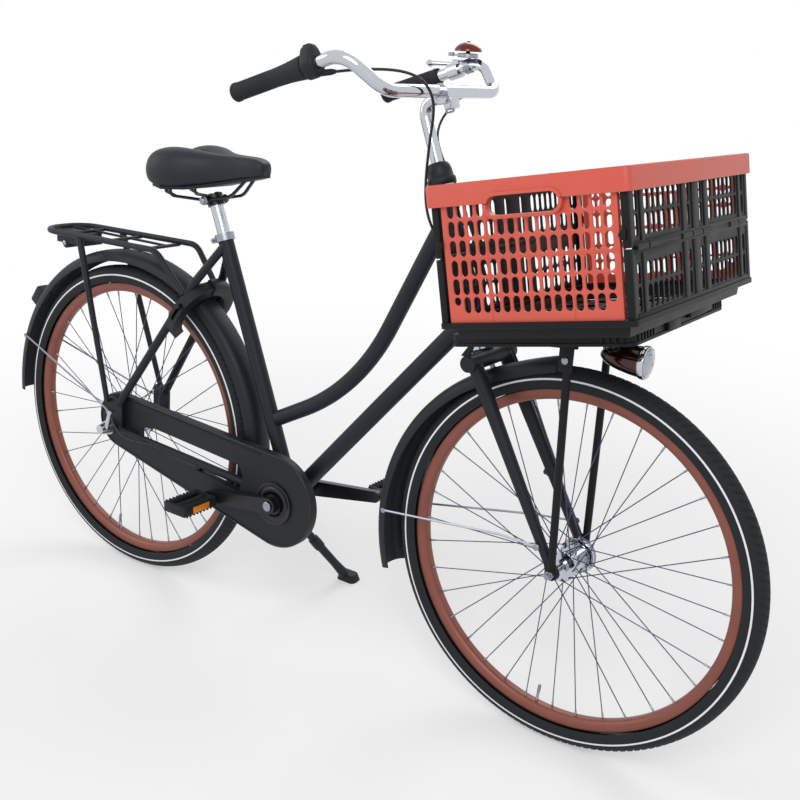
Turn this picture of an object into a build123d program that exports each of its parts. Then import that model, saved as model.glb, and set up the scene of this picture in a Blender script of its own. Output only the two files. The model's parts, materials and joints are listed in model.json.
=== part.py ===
"""Step-through transport bicycle on its side stand, with a folding crate on the front carrier.

Everything is drawn upright: X forward, Y to the left, Z up, with the ground under the rear axle as
origin. At the end the whole bicycle leans to the left onto its stand.
"""

import os
from math import asin, atan2, cos, hypot, pi, radians, sin, sqrt, tan

from build123d import *

# Driving dimensions, in millimetres and degrees
lean_angle = 6.2
wheel_base = 1110
tyre_radius = 356
tyre_section = 23.5
rim_radius = 317
rim_half_width = 13.5
rim_bed_radius = 297
spoke_radius = 1.0
spoke_pairs = 9
bracket_height = 299
seat_angle = 68.5
head_angle = 68.4
fork_rake = 68.7
seat_tube_length = 559
seat_tube_radius = 16
top_tube_radius = 16
down_tube_radius = 17.5
head_tube_radius = 19
head_tube_low = 414
head_tube_high = 693
steerer_radius = 12.7
running_gap = 0.05
thickest_wire = 4.2
quill_radius = 11.1
post_radius = 13.6
chain_pitch = 12.7
chainring_teeth = 38
sprocket_teeth = 20
chain_links = 104
chain_line = -49.5
crank_length = 170
crank_drop_angle = 9
stay_half_width = 70.5
crate_length = 335
crate_width = 506
crate_pitch = 11.4
crate_base_height = 26
crate_panel_height = 208
crate_rim_height = 34

# Reference points and planes
axle_height = tyre_radius
rear_axle_point = (0, 0, axle_height)
front_axle_point = (wheel_base, 0, axle_height)
tyre_circle = tyre_radius - tyre_section


def pitch_radius(teeth):
    """Radius at which the teeth and the chain's rollers share one spacing."""
    return teeth * chain_pitch / (2 * pi)


large_pitch = pitch_radius(chainring_teeth)
small_pitch = pitch_radius(sprocket_teeth)


def stay_length_for(links):
    """Axle to bracket distance at which a chain of this many links closes."""
    distance = 470.0
    for _ in range(20):
        slope = asin((large_pitch - small_pitch) / distance)
        round_runs = large_pitch * (pi + 2 * slope) + small_pitch * (pi - 2 * slope)
        straight = (links * chain_pitch - round_runs) / 2
        distance = hypot(straight, large_pitch - small_pitch)
    return distance


chain_stay_length = stay_length_for(chain_links)
bracket_x = sqrt(chain_stay_length**2 - (axle_height - bracket_height) ** 2)
bracket_point = (bracket_x, 0, bracket_height)

seat_up = Vector(-cos(radians(seat_angle)), 0, sin(radians(seat_angle)))
# Local x is left, local y rearward and local z up along the seat tube
seat_plane = Plane(origin=bracket_point, x_dir=(0, 1, 0), z_dir=seat_up)

steer_up = Vector(-cos(radians(head_angle)), 0, sin(radians(head_angle)))
steer_forward = Vector(sin(radians(head_angle)), 0, cos(radians(head_angle)))
steer_foot = Vector(front_axle_point) - steer_forward * fork_rake
# Local x is forward of the steering axis, local y left and local z up along the axis
steer_plane = Plane(origin=steer_foot, x_dir=steer_forward, z_dir=steer_up)

crate_origin = (1125, 0, 808)
crate_x = Vector(cos(radians(crate_pitch)), 0, sin(radians(crate_pitch)))
crate_z = Vector(-sin(radians(crate_pitch)), 0, cos(radians(crate_pitch)))
crate_plane = Plane(origin=crate_origin, x_dir=crate_x, z_dir=crate_z)

# The ground as the leaning bicycle sees it
ground_normal = Vector(0, -sin(radians(lean_angle)), cos(radians(lean_angle)))
ground_origin = Vector(0, 0, tyre_section * (1 - 1 / cos(radians(lean_angle))))


def steer_point(forward, left, up):
    return steer_plane.from_local_coords((forward, left, up))


def axle_plane(point):
    """Section plane through an axle: local x along the axle, local y outwards."""
    return Plane(origin=point, x_dir=(0, 1, 0), z_dir=(1, 0, 0))


def side_plane(y):
    """Plane beside the bicycle: local x forward, local y up, facing right."""
    return Plane(origin=(0, y, 0), x_dir=(1, 0, 0), z_dir=(0, -1, 0))


def axle_axis(point):
    return Axis(point, (0, 1, 0))


def mirrored(point):
    return (point[0], -point[1], point[2])


# Helpers that draw inside the part being built
def bar_section(plane, radius):
    """The cross-section of a bar: round, or six sided for a thin wire."""
    with BuildSketch(plane) as section:
        if radius > thickest_wire:
            Circle(radius)
        else:
            RegularPolygon(radius, 6)
    return section.sketch


def rod(start, end, radius, mode=Mode.ADD):
    """A straight round bar between two points."""
    run = Vector(end) - Vector(start)
    extrude(bar_section(Plane(origin=start, z_dir=run), radius), amount=run.length, mode=mode)


def tapered_rod(start, end, start_radius, end_radius):
    """A round bar that changes its radius evenly."""
    run = Vector(end) - Vector(start)
    with BuildSketch(Plane(origin=start, z_dir=run)) as first:
        Circle(start_radius)
    with BuildSketch(Plane(origin=end, z_dir=run)) as last:
        Circle(end_radius)
    loft([first.sketch, last.sketch])


def bent_rod(points, radius, bends):
    """A round bar along straight runs joined by arcs, one bend radius per corner."""
    with BuildLine(mode=Mode.PRIVATE) as route:
        FilletPolyline(*points, radius=bends)
    path = route.wires()[0]
    sweep(bar_section(Plane(origin=path @ 0, z_dir=path % 0), radius), path=path)
    return path


def cable(name, points, radius):
    """A cable whose bends are as wide as its runs allow."""
    stops = [Vector(point) for point in points]
    bends = []
    for before, corner, after in zip(stops, stops[1:], stops[2:]):
        arriving = corner - before
        leaving = after - corner
        half_turn = radians(arriving.get_angle(leaving)) / 2
        bends.append(0.45 * min(arriving.length, leaving.length) / tan(half_turn))
    path = bent_rod(points, radius, bends)
    print(name, "bend radii", [round(bend) for bend in bends], "length", round(path.length))


def wire(start, end, radius):
    """A thin six sided wire between two points, kept apart until it is added."""
    run = Vector(end) - Vector(start)
    with BuildSketch(Plane(origin=start, z_dir=run), mode=Mode.PRIVATE) as section:
        RegularPolygon(radius, 6)
    return extrude(section.sketch, amount=run.length, mode=Mode.PRIVATE)


def cross_rod(x, z, y_from, y_to, radius, mode=Mode.ADD):
    """A round bar along Y."""
    rod((x, y_from, z), (x, y_to, z), radius, mode)


def turned(point, profile, mode=Mode.ADD):
    """A body of revolution about an axle, from (along the axle, radius) points."""
    with BuildSketch(axle_plane(point)) as section:
        with BuildLine():
            Polyline(*profile, close=True)
        make_face()
    revolve(section.sketch, axis=axle_axis(point), mode=mode)


def hulled(plane, circles):
    """The face that wraps round a set of (x, y, radius) circles."""
    with BuildSketch(plane) as outline:
        for x, y, radius in circles:
            with Locations((x, y)):
                Circle(radius)
        make_hull()
    return outline.sketch


# Frame tubes
bracket_shell_half = 36.5
bracket_shell_radius = 20
seat_top = seat_plane.from_local_coords((0, 0, seat_tube_length))
head_low = steer_point(0, 0, head_tube_low)
head_high = steer_point(0, 0, head_tube_high)
tube_wall = 3


def bracket_shell_solid(mode):
    cross_rod(bracket_x, bracket_height, -bracket_shell_half, bracket_shell_half, bracket_shell_radius, mode)


def seat_tube_solid(mode):
    rod(bracket_point, seat_top, seat_tube_radius, mode)


with BuildPart() as bottom_bracket_shell:
    bracket_shell_solid(Mode.ADD)
    cross_rod(bracket_x, bracket_height, -37, 37, bracket_shell_radius - tube_wall, Mode.SUBTRACT)

with BuildPart() as seat_tube:
    seat_tube_solid(Mode.ADD)
    rod(bracket_point, seat_top + seat_up, post_radius + running_gap, Mode.SUBTRACT)
    bracket_shell_solid(Mode.SUBTRACT)
    # Clamping slot at the rear
    with Locations(seat_plane.location * Pos(0, 0, seat_tube_length)):
        Box(2, 40, 44, align=(Align.CENTER, Align.MIN, Align.CENTER), mode=Mode.SUBTRACT)

with BuildPart() as head_tube:
    rod(head_low, head_high, head_tube_radius)
    rod(head_low - steer_up, head_high + steer_up, head_tube_radius - tube_wall, Mode.SUBTRACT)

top_tube_points = [(bracket_x - 45, 0, 460), (629, 0, 570), (806, 0, 933)]
top_tube_bend = 470
with BuildPart() as top_tube:
    bent_rod(top_tube_points, top_tube_radius, top_tube_bend)
    seat_tube_solid(Mode.SUBTRACT)
    rod(head_low, head_high, head_tube_radius, Mode.SUBTRACT)

down_tube_top = (875, 0, 766)
with BuildPart() as down_tube:
    rod(bracket_point, down_tube_top, down_tube_radius)
    bracket_shell_solid(Mode.SUBTRACT)
    seat_tube_solid(Mode.SUBTRACT)
    rod(head_low, head_high, head_tube_radius, Mode.SUBTRACT)

cup_height = 10
spindle_radius = 8.5
with BuildPart() as bearing_cups:
    for low in (head_tube_low - cup_height, head_tube_high):
        base = steer_point(0, 0, low)
        rod(base, base + steer_up * cup_height, 21)
        rod(base - steer_up, base + steer_up * (cup_height + 1), steerer_radius + running_gap, Mode.SUBTRACT)
    for side in (-1, 1):
        cross_rod(bracket_x, bracket_height, side * 24, side * 38.5, bracket_shell_radius - tube_wall)
        cup_bore = spindle_radius + running_gap
        cross_rod(bracket_x, bracket_height, side * 23, side * 40, cup_bore, Mode.SUBTRACT)

# Side stand geometry: the leg swings about a slanted pin from the ground to beside the chain stay
stand_pivot = Vector(388, 43, 252)
stand_foot_x = 468
stand_foot_y = 220
stand_foot_z = ground_origin.Z + stand_foot_y * (-ground_normal.Y / ground_normal.Z)
stand_foot_point = Vector(stand_foot_x, stand_foot_y, stand_foot_z)
stand_down = (stand_foot_point - stand_pivot).normalized()
stand_up = Vector(-0.98, 0.06, 0.16).normalized()
stand_swing = stand_down - stand_up
stand_axis = (Vector(0, 1, 0) - stand_swing * (stand_swing.Y / stand_swing.length**2)).normalized()
stand_pin_radius = 5

# Rear triangle: stays, dropouts, bridges and stand bracket
chain_stay_front = (bracket_x - 14, 30, bracket_height + 2)
chain_stay_rear = (20, stay_half_width, axle_height - 3)
seat_stay_points = [(20, stay_half_width, axle_height + 55), (224, 42, 718), (276, 8, 800)]
dropout_thickness = 6
dropout_outer = stay_half_width + dropout_thickness / 2
axle_radius = 4.75
chain_bridge_x = 398
with BuildPart() as rear_triangle:
    for flip in (tuple, mirrored):
        tapered_rod(flip(chain_stay_front), flip(chain_stay_rear), 10.5, 7)
        bent_rod([flip(point) for point in seat_stay_points], 9, 60)
    cross_rod(chain_bridge_x, 308, -38, 38, 7)
    cross_rod(214, 705, -40, 40, 6)
    for side in (-1, 1):
        dropout = [(0, axle_height, 18), (20, axle_height - 3, 11)]
        dropout += [(20, axle_height + 55, 12), (-8, axle_height + 58, 9)]
        extrude(hulled(side_plane(side * stay_half_width), dropout), amount=dropout_thickness / 2, both=True)
    # The stand's boss hangs under the bridge and carries the slanted pin
    rod(stand_pivot - stand_axis * 26, stand_pivot - stand_axis * 0.5, 13)
    rod(stand_pivot - stand_axis * 16, (chain_bridge_x, 22, 306), 10)
    rod(stand_pivot - stand_axis, stand_pivot + stand_axis * 18, stand_pin_radius)
    cross_rod(bracket_x, bracket_height, -42, 42, bracket_shell_radius, Mode.SUBTRACT)
    seat_tube_solid(Mode.SUBTRACT)
    cross_rod(0, axle_height, -90, 90, axle_radius + running_gap, Mode.SUBTRACT)

clamp_ear_offset = 24
with BuildPart() as seat_clamp:
    rod(seat_top - seat_up * 12, seat_top + seat_up * 3, seat_tube_radius + 4)
    with Locations(seat_plane.location * Pos(0, clamp_ear_offset, seat_tube_length - 5)):
        Box(20, 12, 11)
    with Locations(seat_plane.location * Pos(0, clamp_ear_offset, seat_tube_length - 5) * Rot(0, 90, 0)):
        Cylinder(3, 32)
    rod(seat_top - seat_up * 13, seat_top, seat_tube_radius, Mode.SUBTRACT)
    rod(seat_top - seat_up, seat_top + seat_up * 4, post_radius + running_gap, Mode.SUBTRACT)


# Wheels
def tyre(point):
    """Tyre with its tube, and a neck between the rim flanges. One edge of the tread meets the ground."""
    neck = rim_half_width - 2.7
    seat = rim_radius + 1.5
    reach = sqrt(tyre_section**2 - (tyre_circle - seat) ** 2)
    side = [(neck, 306), (neck, seat), (reach, seat)]
    for angle in (90, 60, 32, lean_angle):
        turn = radians(angle)
        side.append((tyre_section * sin(turn), tyre_circle + tyre_section * cos(turn)))
    profile = side + [(-across, out) for across, out in reversed(side)]
    with BuildPart() as builder:
        turned(point, profile)
    return builder


def rim(point):
    """Box section rim with two flanges round the tyre neck."""
    lip = rim_half_width - 2.2
    side = [(7, rim_bed_radius), (rim_half_width, rim_radius - 12), (rim_half_width, rim_radius)]
    side += [(lip, rim_radius), (lip, 305.5)]
    profile = side + [(-across, out) for across, out in reversed(side)]
    with BuildPart() as builder:
        turned(point, profile)
    return builder


def spokes(point, flange, hole_circle, valve_angle):
    """Thirty-six spokes crossed three times, and the tyre valve."""
    cross_angle = 60
    flange_step = 3.4
    rim_step = 1.3
    rim_end = rim_bed_radius - 0.4
    hub_centre = Vector(point)
    strands = []
    for side in (-1, 1):
        for lace in (-1, 1):
            for pair in range(spoke_pairs):
                rim_angle = pair * 40 + (lace + 1) * 10 + (side + 1) * 5
                rim_turn = radians(rim_angle)
                hub_turn = radians(rim_angle - lace * cross_angle)
                hub_y = side * (flange + lace * flange_step)
                rim_y = side * (4 + lace * rim_step)
                start = Vector(hole_circle * cos(hub_turn), hub_y, hole_circle * sin(hub_turn))
                end = Vector(rim_end * cos(rim_turn), rim_y, rim_end * sin(rim_turn))
                strands.append(wire(hub_centre + start, hub_centre + end, spoke_radius))
    valve = Vector(cos(radians(valve_angle)), 0, sin(radians(valve_angle)))
    strands.append(wire(hub_centre + valve * 262, hub_centre + valve * rim_end, 3))
    with BuildPart() as builder:
        add(strands)
    return builder


flange_y = 27
front_hole_circle = 24
rear_hole_circle = 34
with BuildPart() as front_hub:
    shell = [(-34, 5.5), (-34, 13), (-28.5, 13), (-28.5, 28), (-25.5, 28), (-25.5, 16), (25.5, 16)]
    shell += [(25.5, 28), (28.5, 28), (28.5, 20), (32.2, 20), (32.2, 33), (36, 33), (36, 5.5)]
    turned(front_axle_point, shell)
    cross_rod(wheel_base, axle_height, -40, 40, axle_radius + running_gap, Mode.SUBTRACT)
with BuildPart() as rear_hub:
    shell = [(-40, 5.5), (-40, 16), (-28.5, 20), (-28.5, 38), (-25.5, 38), (-25.5, 27), (25.5, 27)]
    shell += [(25.5, 38), (28.5, 38), (28.5, 24), (44, 18), (44, 5.5)]
    turned(rear_axle_point, shell)
    cross_rod(0, axle_height, -50, 50, axle_radius + running_gap, Mode.SUBTRACT)

front_tyre = tyre(front_axle_point)
front_rim = rim(front_axle_point)
front_spokes = spokes(front_axle_point, flange_y, front_hole_circle, 264)
rear_tyre = tyre(rear_axle_point)
rear_rim = rim(rear_axle_point)
rear_spokes = spokes(rear_axle_point, flange_y, rear_hole_circle, 257)


def nut(point, y_from, y_to, across):
    low, high = sorted((y_from, y_to))
    with BuildSketch(Plane(origin=(point[0], low, point[2]), x_dir=(1, 0, 0), z_dir=(0, 1, 0))) as section:
        RegularPolygon(across / 2, 6, major_radius=False)
    extrude(section.sketch, amount=high - low)


axle_spacer_radius = 9
shift_box_face = -84
with BuildPart() as rear_axle:
    cross_rod(0, axle_height, -92, 86, axle_radius)
    for side in (-1, 1):
        cross_rod(0, axle_height, side * 46, side * (stay_half_width - 3), axle_spacer_radius)
        nut(rear_axle_point, side * dropout_outer, side * (dropout_outer + 9), 15)

# Cables, with the gear cable entering the top tube and leaving the chain stay
gear_cable_radius = 2.5
brake_cable_radius = 2.2
gear_cable_points = [
    (660, -216, 1157), (697, -192, 1165), (729, -154, 1171), (760, -116, 1172), (784, -92, 1164),
    (797, -77, 1147), (799, -63, 1124), (792, -50, 1098), (782, -40, 1066), (775, -33, 1030),
    (771, -29, 990), (772, -26, 950), (779, -20, 916), (790, -10, 890),
]
shift_cable_points = [(128, -64, 341), (92, -82, 342), (58, -95, 350), (34, -99, 370), (22, -98, 396)]
brake_cable_points = [
    (680, 246, 1188), (698, 241, 1186), (712, 226, 1178), (739, 211, 1161), (761, 192, 1136),
    (765, 150, 1131), (765, 110, 1131), (766, 72, 1130), (768, 44, 1116), (758, 26, 1090),
    (757, 18, 1062), (768, 18, 1034), (779, 22, 1012), (803, 21, 985), (826, 15, 950), (846, 14, 908),
    (866, 24, 858), (880, 36, 808), (900, 46, 760), (924, 51, 712), (954, 54, 660), (984, 57, 607),
    (1013, 58, 554), (1042, 57, 502), (1064, 52, 461), (1078, 46, 436),
]
with BuildPart() as gear_cable:
    cable("gear cable", gear_cable_points, gear_cable_radius)
    cable("shift cable", shift_cable_points, gear_cable_radius)
    add(top_tube.part, mode=Mode.SUBTRACT)
    add(rear_triangle.part, mode=Mode.SUBTRACT)
with BuildPart() as brake_cable:
    cable("brake cable", brake_cable_points, brake_cable_radius)

with BuildPart() as shift_box:
    with BuildSketch(side_plane(shift_box_face)):
        with Locations((0, axle_height)):
            Circle(17)
    extrude(amount=26, taper=14)
    cross_rod(0, axle_height, -93, -80, axle_radius + running_gap, Mode.SUBTRACT)
    rod((8, -98, axle_height), (22, -98, axle_height + 43), 5)
    add(gear_cable.part, mode=Mode.SUBTRACT)


# Mudguards: a shallow channel bent round the wheel
def mudguard(centre, radius, half_width, first_angle, last_angle):
    """A channel section carried from one angle to another, angles from forward, upwards."""
    wall = 1.6
    outside = [(half_width, radius - 24), (half_width - 6, radius - 5), (12, radius)]
    inside = [(half_width - wall, radius - 24), (half_width - 7, radius - 6 - wall), (12, radius - wall)]
    profile = outside + [(-across, out) for across, out in reversed(outside)]
    profile += [(-across, out) for across, out in inside] + list(reversed(inside))
    turn = radians(first_angle)
    plane = Plane(origin=centre, x_dir=(0, 1, 0), z_dir=(sin(turn), 0, -cos(turn)))
    with BuildPart() as builder:
        with BuildSketch(plane):
            with BuildLine():
                Polyline(*profile, close=True)
            make_face()
        revolve(axis=Axis(centre, (0, -1, 0)), revolution_arc=last_angle - first_angle)
    return builder


mudguard_half_width = 30
rear_mudguard_radius = 391
rear_mudguard = mudguard(rear_axle_point, rear_mudguard_radius, mudguard_half_width, 2, 181)
front_mudguard_centre = (wheel_base - 30, 0, axle_height - 20)
front_mudguard = mudguard(front_mudguard_centre, 374, mudguard_half_width, 113, 197)

# Rear carrier: a bent loop with cross wires, legs to the seat stays and struts to the dropouts
carrier_height = 773
carrier_half_width = 60
strut_eye = (-8, axle_height + 62)
with BuildPart() as rear_carrier:
    leg_end = (200, 50, 690)
    leg_bend = (128, carrier_half_width, carrier_height)
    rear_corner = (-245, carrier_half_width, carrier_height - 6)
    loop = [leg_end, leg_bend, rear_corner, mirrored(rear_corner), mirrored(leg_bend), mirrored(leg_end)]
    bent_rod(loop, 6.5, [42, 50, 50, 42])
    for side in (-1, 1):
        strut_top = (-110, side * (carrier_half_width + 2), carrier_height - 8)
        tapered_rod(strut_top, (strut_eye[0], side * (dropout_outer + 7), strut_eye[1]), 7.5, 6)
        cross_rod(*strut_eye, side * dropout_outer, side * (dropout_outer + 11), 6)
    for x in (-165, -45, 75):
        cross_rod(x, carrier_height - 7, -carrier_half_width, carrier_half_width, 4)
    for y in (-24, 24):
        rod((rear_corner[0] - 1, y, carrier_height - 7), (75, y, carrier_height - 7), 3)
    # Bracket for a rear reflector under the loop
    with Locations(Pos(-186, 0, carrier_height - 22)):
        Box(90, 54, 26)
    add(rear_triangle.part, mode=Mode.SUBTRACT)

# Mudguard stays: a wire from beside the axle to the mudguard's edge on each side
stay_wire_radius = 2.2
rear_stay_eye = (-6, dropout_outer + 4, axle_height + 34)
rear_stay_end = (-352, mudguard_half_width + 1.5, 492)
front_stay_end = (727, mudguard_half_width + 1.5, 352)
with BuildPart() as rear_mudguard_stays:
    for flip in (tuple, mirrored):
        stay_corner = (-76, 64, axle_height + 54)
        stay_points = [flip(point) for point in (rear_stay_eye, stay_corner, rear_stay_end)]
        bent_rod(stay_points, stay_wire_radius, 60)
        rod(flip((-6, dropout_outer, rear_stay_eye[2])), flip((-6, dropout_outer + 8, rear_stay_eye[2])), 5)
        rod(flip((-352, 30, 492)), flip((-352, 34, 492)), 5)
    # Bracket to the bridge between the seat stays
    rod((204, 0, 688.7), (214, 0, 705), 5)
    add(rear_mudguard.part, mode=Mode.SUBTRACT)
    add(rear_triangle.part, mode=Mode.SUBTRACT)

# Fork with steerer and headset cover
fork_crown_height = 386
fork_top_width = 54
fork_end_width = 61
fork_lean = 10
steerer_top = 733
rail_y = 78
with BuildPart() as fork:
    for side in (-1, 1):
        leg_low = steer_point(fork_rake - 3, side * fork_end_width, 22)
        tapered_rod(steer_point(fork_lean, side * fork_top_width, fork_crown_height + 6), leg_low, 14, 9)
        fork_end = [(wheel_base, axle_height, 13), (leg_low.X, leg_low.Z + 4, 9)]
        extrude(hulled(side_plane(side * fork_end_width), fork_end), amount=2.5, both=True)
    crown_half = rail_y - 3
    crown_left = steer_point(fork_lean, crown_half, fork_crown_height)
    rod(crown_left, mirrored(tuple(crown_left)), 15)
    steerer_low = steer_point(0, 0, fork_crown_height)
    rod(steerer_low, steer_point(0, 0, head_tube_low - cup_height - 0.5), 20)
    rod(steerer_low, steer_point(0, 0, steerer_top), steerer_radius)
    tapered_rod(steer_point(0, 0, head_tube_high + cup_height + 0.5), steer_point(0, 0, steerer_top), 22, 18)
    quill_bore = quill_radius + running_gap
    rod(steer_point(0, 0, 560), steer_point(0, 0, steerer_top + 1), quill_bore, Mode.SUBTRACT)
    cross_rod(wheel_base, axle_height, -90, 90, axle_radius + running_gap, Mode.SUBTRACT)

front_nut_face = fork_end_width + 8
with BuildPart() as front_axle:
    cross_rod(wheel_base, axle_height, -84, 84, axle_radius)
    for side in (-1, 1):
        cross_rod(wheel_base, axle_height, side * 49.5, side * (fork_end_width - 2.5), 8)
        nut(front_axle_point, side * front_nut_face, side * (front_nut_face + 8), 15)

with BuildPart() as front_brake_plate:
    turned(front_axle_point, [(37, 5.5), (37, 31), (43, 34), (46, 28), (49, 12), (49, 5.5)])
    rod((wheel_base, 43, axle_height + 12), (1078, 43, 436), 5)
    cross_rod(wheel_base, axle_height, 30, 60, axle_radius + running_gap, Mode.SUBTRACT)
    add(fork.part, mode=Mode.SUBTRACT)
    add(brake_cable.part, mode=Mode.SUBTRACT)

with BuildPart() as front_mudguard_stays:
    for flip in (tuple, mirrored):
        eye = (wheel_base - 28, fork_end_width + 14, axle_height + 46)
        stay_corner = (wheel_base - 110, 62, axle_height + 40)
        stay_points = [flip(point) for point in (eye, stay_corner, front_stay_end)]
        bent_rod(stay_points, stay_wire_radius, 60)
        rod(flip((eye[0], fork_end_width - 2, eye[2])), flip((eye[0], eye[1] + 4, eye[2])), 4)
        end_x, _, end_z = front_stay_end
        rod(flip((end_x, 30, end_z)), flip((end_x, 34, end_z)), 5)
    # Bracket under the fork crown
    guard_tab = steer_point(fork_lean + 2, 0, fork_crown_height - 21)
    rod(steer_point(fork_lean, 0, fork_crown_height), guard_tab, 5)
    add(front_mudguard.part, mode=Mode.SUBTRACT)
    add(fork.part, mode=Mode.SUBTRACT)

# Stem and handlebar
stem_reach = 51
stem_top = 843
stem_low = 570
bar_radius = 11.1
clamp_point = steer_point(stem_reach, 0, stem_top + 3)
bar_corner = (clamp_point.X - 4, 176, clamp_point.Z + 4)
bar_rise = (720, 216, 1193)
bar_end = (498, 219, 1117)
grip_back = (Vector(bar_end) - Vector(bar_rise)).normalized()
with BuildPart() as handlebar:
    bar_points = [bar_end, bar_rise, bar_corner, mirrored(bar_corner), mirrored(bar_rise), mirrored(bar_end)]
    bent_rod(bar_points, bar_radius, [48, 40, 40, 48])
with BuildPart() as stem:
    bent_rod([steer_point(0, 0, stem_low), steer_point(0, 0, stem_top), clamp_point], quill_radius, 24)
    cross_rod(clamp_point.X, clamp_point.Z, -19, 19, 17)
    rod(clamp_point, clamp_point - steer_up * 27, 8)
    add(handlebar.part, mode=Mode.SUBTRACT)


def on_grip(distance, side, out=0.0, up=0.0):
    """A point on a grip's axis, measured forward from the bar's end."""
    point = Vector(bar_end) - grip_back * distance
    return Vector(point.X, side * (point.Y + out), point.Z + up)


def grip_sleeve(side, start, stop, first_radius, last_radius):
    tapered_rod(on_grip(start, side), on_grip(stop, side), first_radius, last_radius)


grip_length = 135
grip_radius = 16
twist_collar = 118
twist_length = 158
with BuildPart() as left_grip:
    grip_sleeve(1, -3, grip_length, grip_radius + 1, grip_radius - 1)
    rod(on_grip(0, 1), on_grip(grip_length + 1, 1), bar_radius, Mode.SUBTRACT)
with BuildPart() as twist_grip:
    grip_sleeve(-1, -3, twist_collar, grip_radius, grip_radius)
    grip_sleeve(-1, twist_collar, twist_length, grip_radius + 1, grip_radius + 4)
    rod(on_grip(0, -1), on_grip(twist_length + 1, -1), bar_radius + running_gap, Mode.SUBTRACT)
shifter_start = twist_length + 0.6
shifter_length = 24
with BuildPart() as shifter_housing:
    grip_sleeve(-1, shifter_start, shifter_start + shifter_length, 22, 20)
    with Locations(Plane(origin=on_grip(shifter_start + shifter_length / 2, -1, up=18), z_dir=-grip_back)):
        Box(26, 34, shifter_length - 2)
    add(handlebar.part, mode=Mode.SUBTRACT)
    add(gear_cable.part, mode=Mode.SUBTRACT)

# Brake bracket on the left of the bar, with the lever on an upright pin
bracket_at = 172
lever_pivot = on_grip(bracket_at, 1, out=34, up=12)
lever_slot = 8.4
with BuildPart() as brake_bracket:
    rod(on_grip(bracket_at - 12, 1), on_grip(bracket_at + 12, 1), 16)
    with BuildSketch(Plane(origin=lever_pivot - Vector(0, 0, 9), x_dir=(1, 0, 0), z_dir=(0, 0, 1))):
        Circle(9)
        with Locations((0, -26)):
            Rectangle(20, 12)
        make_hull()
    extrude(amount=18)
    # Adjuster that the cable leaves through
    adjuster_end = on_grip(bracket_at + 30, 1, out=30, up=6)
    rod(on_grip(bracket_at + 6, 1, out=28, up=12), adjuster_end, 5)
    with Locations(Plane(origin=lever_pivot)):
        Box(60, 40, lever_slot, align=(Align.CENTER, Align.MIN, Align.CENTER), mode=Mode.SUBTRACT)
        Cylinder(13, lever_slot, mode=Mode.SUBTRACT)
        Cylinder(3, 17.9)
    add(handlebar.part, mode=Mode.SUBTRACT)
    add(brake_cable.part, mode=Mode.SUBTRACT)
with BuildPart() as brake_lever:
    lever_tip = lever_pivot + grip_back * 84 + Vector(0, 6, 26)
    ball_end = lever_tip + (lever_tip - lever_pivot).normalized() * 14
    with Locations(Plane(origin=lever_pivot)):
        Cylinder(9, lever_slot - 0.8)
    tapered_rod(lever_pivot, lever_tip, 3.5, 4.6)
    tapered_rod(lever_tip, (lever_tip + ball_end) / 2, 5, 8)
    tapered_rod((lever_tip + ball_end) / 2, ball_end, 8, 5)
    with Locations(Plane(origin=lever_pivot)):
        Cylinder(3 + running_gap, 20, mode=Mode.SUBTRACT)

# Bell just ahead of the brake bracket, with a thumb lever on its base
bell_at = bracket_at + 31
bell_base = on_grip(bell_at, 1, out=-6, up=19)
bell_dome_radius = 23
bell_lever_pivot = bell_base + Vector(0, -15, 0)
with BuildPart() as bell:
    with Locations(Plane(origin=bell_base)):
        Cylinder(20, 8)
    with BuildSketch(Plane(origin=bell_base + Vector(0, 0, 8), x_dir=(1, 0, 0), z_dir=(0, 1, 0))):
        with BuildLine():
            dome = [(0.39, -15.2), (0.72, -11), (0.91, -5.6)]
            dome_points = [(bell_dome_radius * share, height) for share, height in dome]
            Polyline((bell_dome_radius, 0), (0, 0), (0, -17), *dome_points, close=True)
        make_face()
    revolve(axis=Axis(bell_base, (0, 0, 1)))
    with Locations(Plane(origin=bell_base + Vector(0, 0, 6))):
        Cylinder(5, 6)
    rod(on_grip(bell_at - 6, 1), on_grip(bell_at + 6, 1), 14)
    # Pocket and pin for the thumb lever
    with Locations(Plane(origin=bell_lever_pivot)):
        Cylinder(8, 4, mode=Mode.SUBTRACT)
        Box(60, 16, 4, align=(Align.CENTER, Align.MAX, Align.CENTER), mode=Mode.SUBTRACT)
        Cylinder(1.5, 8)
    add(handlebar.part, mode=Mode.SUBTRACT)
with BuildPart() as bell_lever:
    with BuildSketch(Plane(origin=bell_lever_pivot - Vector(0, 0, 1.6))):
        Circle(4.5)
        with Locations((-20, -12)):
            Circle(3)
        make_hull()
    extrude(amount=3.2)
    with Locations(Plane(origin=bell_lever_pivot + Vector(-20, -12, 1))):
        Cylinder(6, 7)
    with Locations(Plane(origin=bell_lever_pivot)):
        Cylinder(1.5 + running_gap, 12, mode=Mode.SUBTRACT)

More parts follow.
